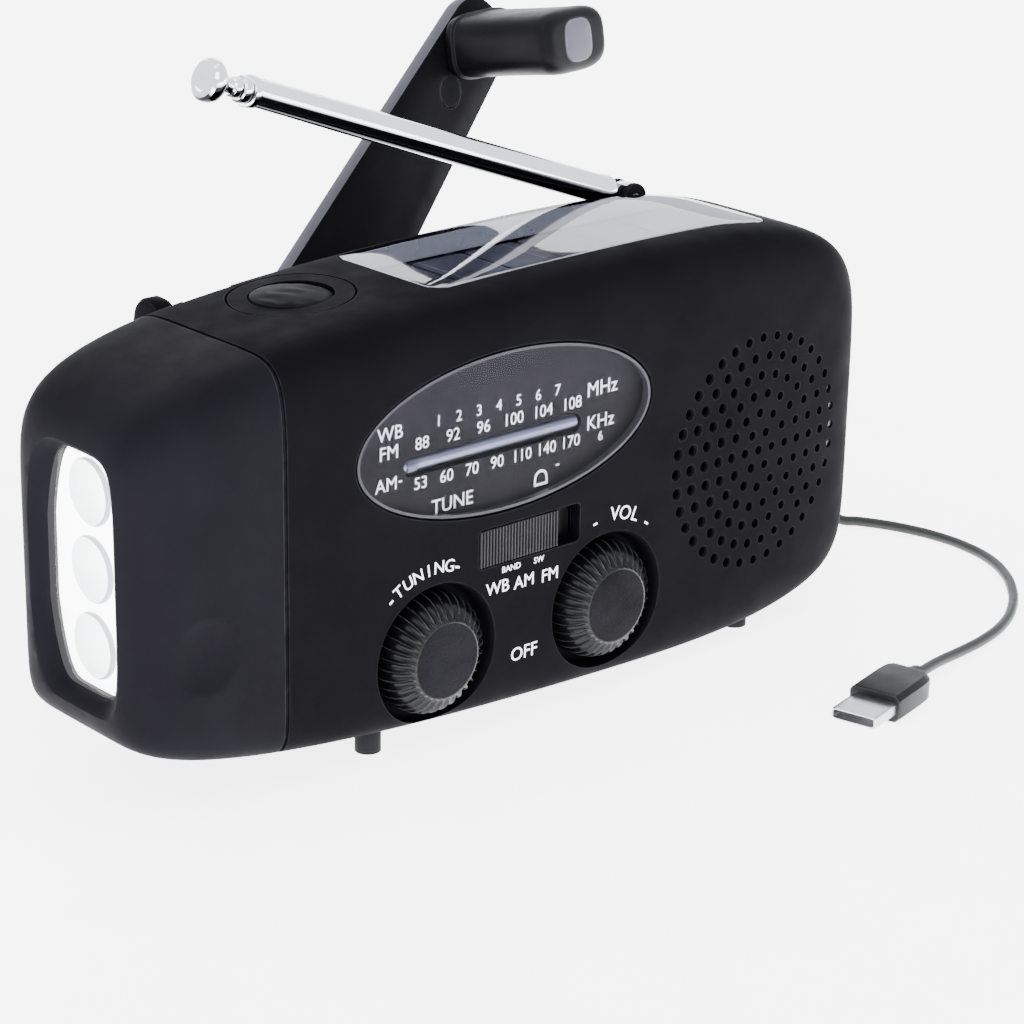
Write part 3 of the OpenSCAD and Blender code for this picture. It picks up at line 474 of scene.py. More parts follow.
def lathe(name, profile, place=None, sides=64, closed=False):
    """A turned form: profile points are (radius, height) about the local Z axis."""
    rings = []
    for radius, height in profile:
        if radius == 0:
            rings.append([(0, 0, height)])
            continue
        turn = [i * 2 * math.pi / sides for i in range(sides)]
        rings.append([(radius * math.cos(t), radius * math.sin(t), height) for t in turn])
    return loft(name, rings, place, closed)


def facing(at, direction):
    """Places local Z along direction, with the origin at a point."""
    turn = Vector(direction).to_track_quat("Z", "Y").to_matrix().to_4x4()
    return Matrix.Translation(Vector(at)) @ turn


def slab(name, outline, y0, y1):
    """An outline in the XZ plane, from y0 to y1."""
    return loft(name, [[(x, y, z) for x, z in outline] for y in (y0, y1)])


def upright(name, outline, z0, z1):
    """An outline in the XY plane, from z0 to z1."""
    return loft(name, [[(x, y, z) for x, y in outline] for z in (z0, z1)])


def block(name, low, high):
    corners = [(low[0], low[1]), (high[0], low[1]), (high[0], high[1]), (low[0], high[1])]
    return upright(name, corners, low[2], high[2])


def fillet(inner, outer, start, end, steps=4):
    """Quarter-round profile points from (inner, start) to (outer, end)."""
    points = []
    for i in range(steps + 1):
        t = i / steps * math.pi / 2
        points.append((inner + (outer - inner) * math.sin(t), end + (start - end) * math.cos(t)))
    return points


def power(value, exponent):
    return math.copysign(abs(value) ** exponent, value)


def soft_box(a, b, squareness, steps=64, at=(0, 0)):
    turn = [(i + 0.5) * 2 * math.pi / steps for i in range(steps)]
    return [(at[0] + a * power(math.cos(t), 2 / squareness),
             at[1] + b * power(math.sin(t), 2 / squareness)) for t in turn]


def ellipse(a, b):
    return soft_box(a, b, 2, 128)


def rounded_rectangle(low, high, radius, steps=6, bow=0.0):
    """Corners as arcs. The ends of the right side are drawn in by bow."""
    points = []
    centres = [(high[0] - radius, low[1] + radius, -90), (high[0] - radius, high[1] - radius, 0),
               (low[0] + radius, high[1] - radius, 90), (low[0] + radius, low[1] + radius, 180)]
    for x, y, start in centres:
        for i in range(steps + 1):
            t = math.radians(start + 90 * i / steps)
            points.append([x + radius * math.cos(t), y + radius * math.sin(t)])
    half = (high[1] - low[1]) / 2
    mid_x, mid_y = (low[0] + high[0]) / 2, (low[1] + high[1]) / 2
    rows = []
    for i, (x, y) in enumerate(points):
        rows.append((x, y))
        if i == steps and bow:  # the right side needs points between its corners
            next_y = points[i + 1][1]
            rows += [(x, y + (next_y - y) * k / 10) for k in range(1, 10)]
    return [(x - bow * ((y - mid_y) / half) ** 2 if x > mid_x else x, y) for x, y in rows]


def bake(obj):
    """Applies the modifiers."""
    graph = bpy.context.evaluated_depsgraph_get()
    mesh = bpy.data.meshes.new_from_object(obj.evaluated_get(graph))
    obj.modifiers.clear()
    obj.data = mesh
    return obj


def combine(obj, *tools, how="DIFFERENCE"):
    """Booleans the tools into obj one after another, and removes them."""
    for tool in tools:
        modifier = obj.modifiers.new("combine", "BOOLEAN")
        modifier.operation = how
        modifier.solver = "MANIFOLD"
        modifier.object = tool
        bake(obj)
        bpy.data.objects.remove(tool)
    return obj


def soften(obj, width, segments, angle, name="rim"):
    """Adds a bevel modifier on edges sharper than angle."""
    bevel = obj.modifiers.new(name, "BEVEL")
    bevel.width = width * MM
    bevel.segments = segments
    bevel.limit_method = "ANGLE"
    bevel.angle_limit = math.radians(angle)
    return obj


def settle(obj, place):
    """Moves a mesh built about the origin to its place."""
    obj.data.transform(Matrix.Translation(place.translation * MM) @ place.to_3x3().to_4x4())


def join(name, parts):
    """Several objects' meshes as one object, material slots kept."""
    materials, verts, faces, indices = [], [], [], []
    for part in parts:
        slots = list(part.data.materials)
        for material in slots:
            if material not in materials:
                materials.append(material)
        start = len(verts)
        verts += [part.matrix_world @ v.co for v in part.data.vertices]
        for polygon in part.data.polygons:
            faces.append([start + k for k in polygon.vertices])
            chosen = slots[polygon.material_index] if slots else None
            indices.append(materials.index(chosen) if chosen else 0)
        bpy.data.objects.remove(part)
    mesh = bpy.data.meshes.new(name)
    mesh.from_pydata(verts, [], faces)
    for material in materials:
        mesh.materials.append(material)
    mesh.polygons.foreach_set("material_index", indices)
    obj = bpy.data.objects.new(name, mesh)
    SCENE.collection.objects.link(obj)
    return obj


def paint(obj, material):
    obj.data.materials.clear()
    obj.data.materials.append(material)
    return obj


def paint_where(obj, material, wanted):
    """Gives a second finish to the faces whose centre (mm) and normal are wanted."""
    obj.data.materials.append(material)
    index = len(obj.data.materials) - 1
    for polygon in obj.data.polygons:
        if wanted(polygon.center / MM, polygon.normal):
            polygon.material_index = index


def done(obj, material, body, slot, *nodes, angle=32):
    """Shades a piece, gives it its finish, and rides it on its body."""
    if material:
        paint(obj, material)
    obj.data.shade_smooth()
    obj.data.set_sharp_from_angle(angle=math.radians(angle))
    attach(obj, body)
    if nodes:
        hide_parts(*nodes)
    return obj


# ---------- case form ----------


def half_height(x, upward, inset):
    """Distance from the form's middle height to its top or bottom at x."""
    top = TOP_HEIGHT - (x - TOP_PEAK_X) ** 2 / TOP_ARCH - FORM_Z
    bottom = FORM_Z - BOTTOM_HEIGHT - np.minimum(x - BOTTOM_FLAT_X, 0) ** 2 / BOTTOM_ARCH
    return np.where(upward, top, bottom) - inset


def reach(ux, inset):
    return np.where(ux > 0, RIGHT_END - FORM_X, FORM_X - LEFT_END) - inset


def squareness(ux, uz):
    """Exponents of the form at a point: along X and along Z."""
    along = np.clip(ux / 0.75, 0, 1)
    toward_right = along * along * (3 - 2 * along)
    px = np.where(ux > 0, 3.06, 3.7)
    pz = np.where(uz > 0, 7.4 - 1.7 * toward_right, 13.5 - 5.5 * toward_right)
    return px, pz


DEPTH_SQUARENESS = 7.3
FORM_CELLS = (96, 30, 56)
FORM_CROWDING = 0.86  # toward 1, the grid is closer toward the form's edges


def fullness(ux, uy, uz):
    px, pz = squareness(ux, uz)
    return np.abs(ux) ** px + np.abs(uy) ** DEPTH_SQUARENESS + np.abs(uz) ** pz


def front_y(x, z):
    """Y of the case's front face at x, z."""
    ux = (x - FORM_X) / reach(x - FORM_X, 0)
    uz = (z - FORM_Z) / half_height(x, z > FORM_Z, 0)
    px, pz = squareness(ux, uz)
    left = np.clip(1 - np.abs(ux) ** px - np.abs(uz) ** pz, 0, 1)
    return -HALF_DEPTH * left ** (1 / DEPTH_SQUARENESS)


def top_z(x, y):
    """Height of the case's top at x, y."""
    ux = (x - FORM_X) / reach(x - FORM_X, 0)
    px, pz = squareness(ux, np.ones_like(ux))
    left = np.clip(1 - np.abs(ux) ** px - np.abs(y / HALF_DEPTH) ** DEPTH_SQUARENESS, 0, 1)
    return FORM_Z + half_height(x, True, 0) * left ** (1 / pz)


def form_solid(name, inset):
    """The rounded case form, shrunk by inset: a gridded box drawn in to the form."""
    lines = []
    for count in FORM_CELLS:
        t = np.linspace(-1, 1, count + 1)
        lines.append(np.sin(t * math.pi / 2 * FORM_CROWDING)
                     / math.sin(math.pi / 2 * FORM_CROWDING))
    index, verts, faces = {}, [], []

    def vertex(cell):
        if cell not in index:
            index[cell] = len(verts)
            verts.append([lines[axis][cell[axis]] for axis in range(3)])
        return index[cell]

    for axis in range(3):
        u, v = [a for a in range(3) if a != axis]
        for side in (0, FORM_CELLS[axis]):
            for i in range(FORM_CELLS[u]):
                for j in range(FORM_CELLS[v]):
                    corner = []
                    for di, dj in ((0, 0), (1, 0), (1, 1), (0, 1)):
                        cell = [0, 0, 0]
                        cell[axis], cell[u], cell[v] = side, i + di, j + dj
                        corner.append(vertex(tuple(cell)))
                    faces.append(corner)
    unit = np.array(verts)
    low, high = np.zeros(len(unit)), np.full(len(unit), 1.01)
    for _ in range(40):
        guess = (low + high) / 2
        full = fullness(*(unit * guess[:, None]).T) > 1
        high = np.where(full, guess, high)
        low = np.where(full, low, guess)
    ux, uy, uz = (unit * low[:, None]).T
    x = FORM_X + ux * reach(ux, inset)
    y = uy * (HALF_DEPTH - inset)
    z = FORM_Z + uz * half_height(x, uz > 0, inset)
    return piece_from(name, np.stack([x, y, z], 1).tolist(), faces)


def moulding(name, low, high):
    """One case moulding: outer form less inner form, within a box."""
    obj = form_solid(name, 0)
    combine(obj, form_solid("core", WALL))
    return combine(obj, block("limits", low, high), how="INTERSECT")


def seam_groove(low, high, depth=0.35):
    """Cutter for a shallow groove round the form, within a thin box."""
    return combine(block("groove", low, high), form_solid("groove_floor", depth))


def within_form(obj, inset):
    return combine(obj, form_solid("fit", inset), how="INTERSECT")


def head_groove():
    return seam_groove((HEAD_SEAM - 0.28, FAR_FRONT, UNDER), (HEAD_SEAM + 0.28, FAR_BACK, OVER))


def split_groove():
    return seam_groove((HEAD_SEAM + 0.5, SPLIT_Y - 0.22, UNDER),
                       (FAR_RIGHT, SPLIT_Y + 0.22, OVER), 0.3)


# ---------- case ----------


def well_cutter(x, z):
    """Dish behind a knob, with a rounded floor and lip."""
    profile = [(0, -WELL_FLOOR), (WELL_R - 0.9, -WELL_FLOOR)]
    profile += fillet(WELL_R - 0.9, WELL_R, -WELL_FLOOR, -WELL_FLOOR + 0.9)[1:]
    profile += [(WELL_R, HALF_DEPTH - 0.9)]
    profile += [(WELL_R + 0.12, HALF_DEPTH - 0.4), (WELL_R + 0.42, HALF_DEPTH),
                (WELL_R + 0.9, HALF_DEPTH + 0.6), (0, HALF_DEPTH + 0.6)]
    return lathe("well", profile, facing((x, 0, z), (0, -1, 0)), 96)


def rod(name, at, direction, radius, length, sides=48):
    """A cylinder that starts at a point and runs along direction."""
    return lathe(name, [(0, 0), (radius, 0), (radius, length), (0, length)],
                 facing(at, direction), sides)


def grille_cutter():
    """Cutter for the loudspeaker holes: hexagonal rings of bores, flared at the face."""
    holes = []
    for ring in range(7):
        for i in range(max(1, 6 * ring)):
            turn = i * math.pi / 3 / max(1, ring)
            at = (SPEAKER.x + ring * GRILLE_PITCH * math.cos(turn), 0,
                  SPEAKER.z + ring * GRILLE_PITCH * math.sin(turn))
            profile = [(0, 13), (GRILLE_HOLE_R, 13), (GRILLE_HOLE_R, HALF_DEPTH - 0.35),
                       (GRILLE_HOLE_R + 0.6, HALF_DEPTH + 0.5), (0, HALF_DEPTH + 0.5)]
            holes.append(lathe("hole", profile, facing(at, (0, -1, 0)), 14))
    return join("grille", holes)


def dial_outline(grow):
    return [(DIAL.x + x, DIAL.z + z) for x, z in ellipse(DIAL_A + grow, DIAL_B + grow)]


def dial_cutter():
    """Cutter for the dial's opening, a little wider at the face."""
    outline = ellipse(DIAL_A + 0.3, DIAL_B + 0.3)
    rings = [[(DIAL.x + x * s, y, DIAL.z + z * s) for x, z in outline]
             for s, y in ((1, -10), (1, -HALF_DEPTH + 0.3), (1.02, -HALF_DEPTH - 0.5))]
    return loft("dial_opening", rings)


def solar_outline(grow):
    low = (SOLAR_LOW.x - grow, SOLAR_LOW.y - grow)
    high = (SOLAR_HIGH.x + grow, SOLAR_HIGH.y + grow)
    return rounded_rectangle(low, high, 2.4 + grow, bow=1.3)


def aerial_channel():
    """Cutter for the trough along the rear top edge that the folded aerial drops into."""
    along = (1, 0, 0)
    trough = rod("trough", (-43, AERIAL.y, AERIAL.z), along, 2.75, AERIAL.x + 41)
    tip = rod("tip_room", (-38.4, AERIAL.y, AERIAL.z), along, 3.4, 8)
    hinge = block("hinge_room", (AERIAL.x - 4.5, AERIAL.y - 2.4, AERIAL.z - 4.7),
                  (AERIAL.x + 4.5, 20, 70))
    return combine(trough, tip, hinge, how="UNION")


def usb_port():
    """Cutter for the opening in the right end, at the USB socket."""
    low, high = span("usb_socket")
    return block("port", (60, low.y + 0.4, low.z + 0.4), (FAR_RIGHT, high.y - 0.4, high.z - 0.4))


def make_front_case():
    low_corner, back = (HEAD_SEAM + HEAD_GAP, FAR_FRONT, UNDER), SPLIT_Y - SPLIT_GAP
    case = moulding("front_case_shell", low_corner, (FAR_RIGHT, back, OVER))
    inside = block("solar_tray", (SOLAR_LOW.x - 1, SOLAR_LOW.y - 1, SOLAR_FLOOR - 1.2),
                   (SOLAR_HIGH.x + 1, SOLAR_HIGH.y + 1, 61))
    seat_r = BEZEL_R + 1.2
    combine(inside, block("bulkhead", low_corner, (HEAD_SEAM + 1.5, back, OVER)),
            block("channel_bed", (-42.6, 11, 55.4), (56, back, OVER)),
            lathe("bezel_seat", [(0, 54.4), (seat_r, 54.4), (seat_r, 57.8), (0, 57.8)],
                  Matrix.Translation((BUTTON.x, BUTTON.y, 0))), how="UNION")
    combine(case, within_form(inside, 1), how="UNION")
    for knob in (TUNING, VOLUME):
        cup = rod("cup", (knob.x, -16.9, knob.z), (0, 1, 0), WELL_R + 1.3, 4.4, 96)
        combine(case, within_form(cup, 0.4), how="UNION")
        combine(case, well_cutter(knob.x, knob.z),
                rod("shaft_hole", (knob.x, -18, knob.z), (0, 1, 0), 3.15, 12))
    combine(case, dial_cutter())
    slot = rounded_rectangle((SLOT[0], SLIDER_Z - SLIDER_H / 2),
                             (SLOT[1], SLIDER_Z + SLIDER_H / 2), 0.7)
    combine(case, slab("slot", slot, -20, -13), grille_cutter())
    combine(case, upright("solar_opening", solar_outline(0.15), SOLAR_FLOOR, 70),
            rod("bezel_hole", (BUTTON.x, BUTTON.y, 56.6), (0, 0, 1), BEZEL_R + 0.3, 12, 96),
            rod("button_hole", (BUTTON.x, BUTTON.y, 50), (0, 0, 1), BUTTON_R + 0.2, 12, 64),
            aerial_channel())
    combine(case, usb_port(), head_groove(), split_groove())
    return done(case, BLACK, "case", "case_black", "front_case")


def make_rear_case():
    front = SPLIT_Y + SPLIT_GAP
    case = moulding("rear_case_shell", (HEAD_SEAM + HEAD_GAP, front, UNDER),
                    (FAR_RIGHT, FAR_BACK, OVER))
    bed = block("channel_bed", (-42.6, front, 54.4), (56, FAR_BACK, OVER))
    combine(case, within_form(bed, 1), how="UNION")
    pocket = Vector((HUB.x + CRANK_REACH, 0, HUB.z))
    cup = slab("cup", soft_box(9.9, 6.8, 8, at=(pocket.x, pocket.z)), -0.2, 16.5)
    combine(case, cup, rod("bearing", (HUB.x, 14.4, HUB.z), (0, 1, 0), 4.5, 2.4), how="UNION")
    combine(case, slab("pocket", soft_box(8.7, 5.6, 8, at=(pocket.x, pocket.z)), 1, 20),
            rod("shaft_hole", (HUB.x, 10, HUB.z), (0, 1, 0), 2.56, 12))
    low, high = span("port_cover")
    seat = rounded_rectangle((low.x - 0.2, low.z - 0.2), (high.x + 1.3, high.z + 0.2), 0.6)
    combine(case, slab("cover_seat", seat, high.y - 1.6, FAR_BACK),
            block("charge_port", (low.x + 2.5, 10, low.z + 1.3),
                  (low.x + 5.5, FAR_BACK, high.z - 1.3)))
    for x, z in screw_places():
        combine(case, rod("screw_room", (x, 16.1, z), (0, 1, 0), 2.6, 3),
                rod("screw_hole", (x, 10, z), (0, 1, 0), 1.35, 9))
    combine(case, usb_port(), aerial_channel(), split_groove())
    return done(case, BLACK, "case", "case_black", "rear_case")


SCREW_SPREAD = 6  # more than a screw head's width, less than the gap between two screws


def screw_places():
    """Centres of the case screws, from the screws' own meshes."""
    points = [v.co / MM for v in NODES["case_screws"].data.vertices]
    groups = []
    for point in points:
        near = [g for g in groups
                if math.hypot(g[0].x - point.x, g[0].z - point.z) < SCREW_SPREAD]
        if near:
            near[0].append(point)
        else:
            groups.append([point])
    return [tuple((min(values) + max(values)) / 2
                  for values in ([p.x for p in g], [p.z for p in g])) for g in groups]


# ---------- torch ----------


def barrel(grow, steps=72):
    """Outline of the lens in the YZ plane: straight at the front, bowed at the back."""
    height = LENS_HALF_HEIGHT + grow
    points = []
    for i in range(steps):
        t = (i + 0.5) * 2 * math.pi / steps
        z = height * power(math.sin(t), 2 / 6)
        bulge = 5.4 + 2.6 * math.cos(z / height * math.pi / 2)
        width = (bulge if math.cos(t) > 0 else 7.7) + grow
        points.append((width * power(math.cos(t), 2 / 6), z))
    return points


def barrel_loft(name, rows):
    """A loft of lens outlines along X: rows are (x, grow)."""
    return loft(name, [[(x, LENS.y + y, LENS.z + z) for y, z in barrel(grow)] for x, grow in rows])


LENS_FACE = -64.1
REFLECTOR_FACE = -62.5
CUP_PITCH = 10.4
CUP_R = 4.5
SCOOP_AT = Vector((-55.8, -15.6, 22.5))
SCOOP_OUTWARD = Vector((-0.16, -0.987, 0.0))
SCOOP_R = 18.0
SCOOP_DEPTH = 0.9


def make_torch_head():
    head = moulding("torch_head_shell", (FAR_LEFT, FAR_FRONT, UNDER),
                    (HEAD_SEAM - HEAD_GAP, FAR_BACK, OVER))
    seat = block("lens_seat", (-66, -11.2, LENS.z - 18.4), (-54, 9.6, LENS.z + 18.4))
    combine(head, within_form(seat, 1), how="UNION")
    ball = [(SCOOP_R * math.sin(t * math.pi / 24), -SCOOP_R * math.cos(t * math.pi / 24))
            for t in range(25)]
    ball[0], ball[-1] = (0, -SCOOP_R), (0, SCOOP_R)
    centre = SCOOP_AT + SCOOP_OUTWARD * (SCOOP_R - SCOOP_DEPTH)
    combine(head, lathe("thumb_scoop", ball, facing(centre, SCOOP_OUTWARD), 96))
    combine(head, barrel_loft("lens_opening", [(-50, 0.1), (LENS_FACE + 0.4, 0.1),
                                               (-64.9, 0.8), (-65.6, 2.0), (-67, 4.6)]),
            head_groove())
    return done(head, HEAD, "case", "head_charcoal", "torch_head")


def make_torch():
    lens = barrel_loft("lens_cover", [(LENS_FACE + 1.2, 0), (LENS_FACE + 0.5, 0),
                                      (LENS_FACE + 0.15, -0.15), (LENS_FACE, -0.5),
                                      (LENS_FACE - 0.12, -3)])
    done(lens, LENS_CLEAR_PAINTED_GLOW, "case", "clear_lens", "torch_lens")
    plate = barrel_loft("reflector_cups", [(-54.2, 0), (REFLECTOR_FACE, 0)])
    shade_crescents = []
    for k in (-1, 0, 1):
        at = (0, LENS.y, LENS.z + k * CUP_PITCH)
        bowl = [(0, 54), (1.75, 54), (1.75, 55.6)]
        bowl += [(1.9 + (CUP_R - 1.9) * math.sin(t * math.pi / 12),
                  55.6 + 6.4 * (1 - math.cos(t * math.pi / 12))) for t in range(1, 7)]
        bowl += [(CUP_R, 64), (0, 64)]
        combine(plate, lathe("bowl", bowl, facing(at, (-1, 0, 0)), 48))
        shade_crescents.append(make_shade_crescent(at))
    done(plate, REFLECTOR_PAINTED_GLOW, "case", "reflector", "torch_reflector")
    # the cup walls get the dimmer copy: painted shade
    paint_where(plate, CUP_WALL_PAINTED_SHADE, lambda at, normal: at.x > REFLECTOR_FACE + 0.02)
    done(join("cup_shade_crescents", shade_crescents), CUP_RIM_PAINTED_SHADE, "case", "reflector")


def make_shade_crescent(at, steps=40):
    """A grey crescent on one cup's mouth, thickest on the side toward the radio's front: painted
    shade, made as a thin lip.
    """
    rings = []
    for i in range(steps + 1):
        t = math.radians(-75 + 190 * i / steps)
        thick = 0.05 + 0.55 * math.sin(math.pi * i / steps)
        ring = []
        for k in range(8):
            s = k * math.pi / 4
            r = CUP_R - 0.15 + thick * math.cos(s)
            ring.append((REFLECTOR_FACE - 0.05 + 0.35 * math.sin(s), at[1] - r * math.cos(t),
                         at[2] + r * math.sin(t)))
        rings.append(ring)
    return loft("rim", rings)


# ---------- dial ----------


def make_dial():
    glass = within_form(slab("dial_glass_panel", dial_outline(0), -19, -16.6), 0.02)
    done(bake(soften(glass, 0.35, 3, 50)), DIAL_GLASS, "case", "dial_glass", "dial_window")

    rim = slab("dial_rim", dial_outline(0), -19, -16.7)
    combine(rim, slab("rim_hole", dial_outline(-0.42), -20, -16))
    done(within_form(rim, 0.03), BEVEL_RIM, "case", "dial_glass")

    card = slab("dial_card", dial_outline(-0.1), CARD_FACE, -15.5)
    combine(card, slab("flange", dial_outline(0.9), -15.6, CARD_BACK), how="UNION")
    channel = rounded_rectangle((CHANNEL[0], CHANNEL_Z - CHANNEL_H / 2),
                                (CHANNEL[1], CHANNEL_Z + CHANNEL_H / 2), CHANNEL_H / 2 - 0.02, 10)
    combine(card, slab("channel", channel, -18, -14.9),
            block("slider_room", (-17.2, -17, 20), (10.6, -10, SLIDER_Z + 4.2)))
    done(card, DIAL_CARD_PAINTED_REFLECTION, "case", "dial_card", "dial_scale")

    length = CHANNEL[1] - CHANNEL[0]
    profile = [(0, 0.1), (0.7, 0.15), (1.02, 0.5), (1.02, length - 0.5), (0.7, length - 0.15),
               (0, length - 0.1)]
    rail = lathe("pointer_rail", profile, facing((CHANNEL[0], RAIL_Y, CHANNEL_Z), (1, 0, 0)), 32)
    done(rail, RAIL, "case", "dial_card")
    left = span("dial_pointer")[0].x + 0.3
    bead = [(1.03, 0), (1.22, 0.12), (1.3, 0.4), (1.3, 1.6), (1.22, 1.88), (1.03, 2)]
    pointer = lathe("pointer_bead", bead, facing((left, RAIL_Y, CHANNEL_Z), (1, 0, 0)), 32,
                    closed=True)
    done(pointer, POINTER, "pointer", "pointer_red", "dial_pointer")


# ---------- lettering ----------


def word_mesh(word, size):
    """Points and faces of a word in its own plane, centred."""
    curve = bpy.data.curves.new("word", "FONT")
    curve.body = word
    curve.size = size
    curve.align_x = "CENTER"
    curve.align_y = "CENTER"
    curve.extrude = 0.02
    curve.resolution_u = 3
    holder = bpy.data.objects.new("word", curve)
    SCENE.collection.objects.link(holder)
    graph = bpy.context.evaluated_depsgraph_get()
    mesh = bpy.data.meshes.new_from_object(holder.evaluated_get(graph))
    points = [tuple(v.co) for v in mesh.vertices]
    faces = [tuple(p.vertices) for p in mesh.polygons]
    bpy.data.objects.remove(holder)
    return points, faces


def lettering(name, words, height_of):
    """Raised print. words are (text, x, z, size, lean in degrees); height_of gives Y at x, z."""
    verts, faces = [], []
    for word, x, z, size, lean in words:
        points, polygons = word_mesh(word, size)
        start = len(verts)
        c, s = math.cos(math.radians(lean)), math.sin(math.radians(lean))
        for px, pz, depth in points:
            place_x, place_z = x + px * c - pz * s, z + px * s + pz * c
            verts.append((place_x, float(height_of(place_x, place_z)) - 0.015 - depth, place_z))
        faces += [[start + k for k in polygon] for polygon in polygons]
    return piece_from(name, verts, faces)


def along_arc(word, centre, radius, middle_deg, size, step_deg):
    """A word's letters one by one round a knob."""
    first = middle_deg + step_deg * (len(word) - 1) / 2
    rows = []
    for i, letter in enumerate(word):
        turn = math.radians(first - i * step_deg)
        rows.append((letter, centre.x + radius * math.cos(turn), centre.z + radius * math.sin(turn),
                     size, math.degrees(turn) - 90))
    return rows


def number_row(numbers, x0, x1, z, size):
    step = (x1 - x0) / (len(numbers) - 1)
    return [(text, x0 + i * step, z, size, 0) for i, text in enumerate(numbers)]


def make_lettering():
    words = [("WB", -27.8, 46.7, 2.7, 0), ("FM", -28.0, 44.1, 2.7, 0), ("AM", -28.4, 39.8, 2.6, 0),
             ("MHz", 9.7, 45.5, 3.0, 0), ("KHz", 9.5, 40.7, 2.9, 0), ("TUNE", -17.1, 34.9, 2.8, 0),
             ("-", -22.4, 34.4, 3.0, 0), ("-", -26.1, 40.1, 2.4, 0),
             ("D", -1.2, 34.9, 3.6, 90), ("-", 1.7, 36.3, 2.4, 0),
             ("6", 9.6, 38.5, 1.9, 0)]
    words += number_row(["1", "2", "3", "4", "5", "6", "7"], -19.6, 1.4, 46.75, 2.2)
    words += number_row(["88", "92", "96", "100", "104", "108"], -22.4, 4.1, 44.3, 2.45)
    words += number_row(["53", "60", "70", "90", "110", "140", "170"], -22.6, 4.0, 38.85, 2.4)
    words = [(text, x + PRINT_SHIFT[0], z + PRINT_SHIFT[1], size, lean)
             for text, x, z, size, lean in words]
    done(lettering("dial_print", words, lambda x, z: CARD_FACE), PRINT_PAINTED_GLOW, "case", "dial_card")
    words = along_arc("TUNING", TUNING, 12.5, 101, 2.5, 8.2)
    words += along_arc("VOL", VOLUME, 12.8, 76, 2.9, 9)
    words += [("WB", -9.0, 20.9, 2.6, 0), ("AM", -4.2, 20.7, 2.6, 0), ("FM", 0.5, 20.5, 2.6, 0),
              ("BAND", -6.6, 23.25, 1.25, 0), ("SW", -1.6, 23.2, 1.25, 0),
              ("OFF", -4.0, 10.2, 2.8, 0)]
    for knob, turn in ((TUNING, 129), (TUNING, 74), (VOLUME, 102), (VOLUME, 54)):
        t = math.radians(turn)
        words.append(("-", knob.x + 12.6 * math.cos(t), knob.z + 12.6 * math.sin(t), 3.0,
                      turn - 90))
    done(lettering("panel_print", words, front_y), PRINT_PAINTED_GLOW, "case", "case_black")


# ---------- knobs, slider, button ----------

FLUTES = 34
SHOULDER_ROW = 6  # from this row on, the flutes are cut downward more than inward


def make_knob(name, centre, body, node):
    """A knob whose scooped flutes curl over its shoulder to a stippled face."""
    base, face = -WELL_FLOOR - 0.3, -KNOB_FACE
    rows = [(KNOB_R, base, 0.35), (KNOB_R, base + 0.5, 0.55), (KNOB_R, base + 1.6, 0.7),
            (KNOB_R - 0.05, base + 2.6, 0.75), (KNOB_R - 0.3, base + 3.5, 0.8),
            (KNOB_R - 0.75, base + 4.3, 0.8), (KNOB_R - 1.35, base + 4.95, 0.75),
            (KNOB_R - 2.0, base + 5.4, 0.62), (KNOB_R - 2.6, base + 5.62, 0.42),
            (KNOB_R - 3.0, face - 0.05, 0.12), (KNOB_R - 3.15, face, 0)]
    per_flute = 8
    rings = []
    for index, (radius, height, depth) in enumerate(rows):
        ring = []
        swirl = 0.35 * index / len(rows) * 2 * math.pi / FLUTES
        for k in range(FLUTES * per_flute):
            u = k % per_flute / per_flute
            t = k * 2 * math.pi / FLUTES / per_flute + swirl
            scoop = depth * (4 * u * (1 - u)) ** 0.8
            inward, down = (0.9, 0.15) if index < SHOULDER_ROW else (0.5, 0.6)
            out = radius - scoop * inward
            ring.append((out * math.cos(t), out * math.sin(t), height - scoop * down))
        rings.append(ring)
    place = facing((centre.x, 0, centre.z), (0, -1, 0))
    side = loft("side", rings, place)
    paint(side, KNOB_SIDE)
    edge = KNOB_R - 3.1
    disc = lathe("disc", [(0, face + 0.12), (edge * 0.5, face + 0.1), (edge - 0.4, face + 0.04),
                          (edge, face - 0.06), (edge, face - 0.6), (0, face - 0.6)], place, 96)
    paint(disc, KNOB_FACE_FINISH)
    shaft = rod("shaft", (centre.x, WELL_FLOOR + 0.3, centre.z), (0, 1, 0), 3, 3.9)
    paint(shaft, KNOB_SIDE)
    done(join(name, [side, disc, shaft]), None, body, "case_black", node, angle=40)


def make_slider():
    low, high = span("band_slider")
    x0, x1 = SLOT[0] + 0.2, SLOT[0] + 14.4
    z0, z1 = SLIDER_Z - SLIDER_H / 2 + 0.25, SLIDER_Z + SLIDER_H / 2 - 0.25
    ribs = 26
    step = (x1 - x0) / ribs
    outline = [(x1, -14.9), (x0, -14.9)]
    for i in range(ribs):
        left = x0 + i * step
        outline += [(left + 0.04, low.y + 0.32), (left + step * 0.3, low.y),
                    (left + step * 0.62, low.y), (left + step * 0.9, low.y + 0.32)]
    cap = upright("cap", outline, z0, z1)
    plate = block("plate", (x0 - 4.4, -15.05, SLIDER_Z - 3.1),
                  (x1 + 4.2, high.y - 2, SLIDER_Z + 3.7))
    stem = block("stem", (x0 + 6, high.y - 2.1, SLIDER_Z - 1), (x0 + 8, high.y, SLIDER_Z + 1))
    combine(cap, plate, stem, how="UNION")
    done(cap, SLIDER, "band", "head_charcoal", "band_slider", angle=20)


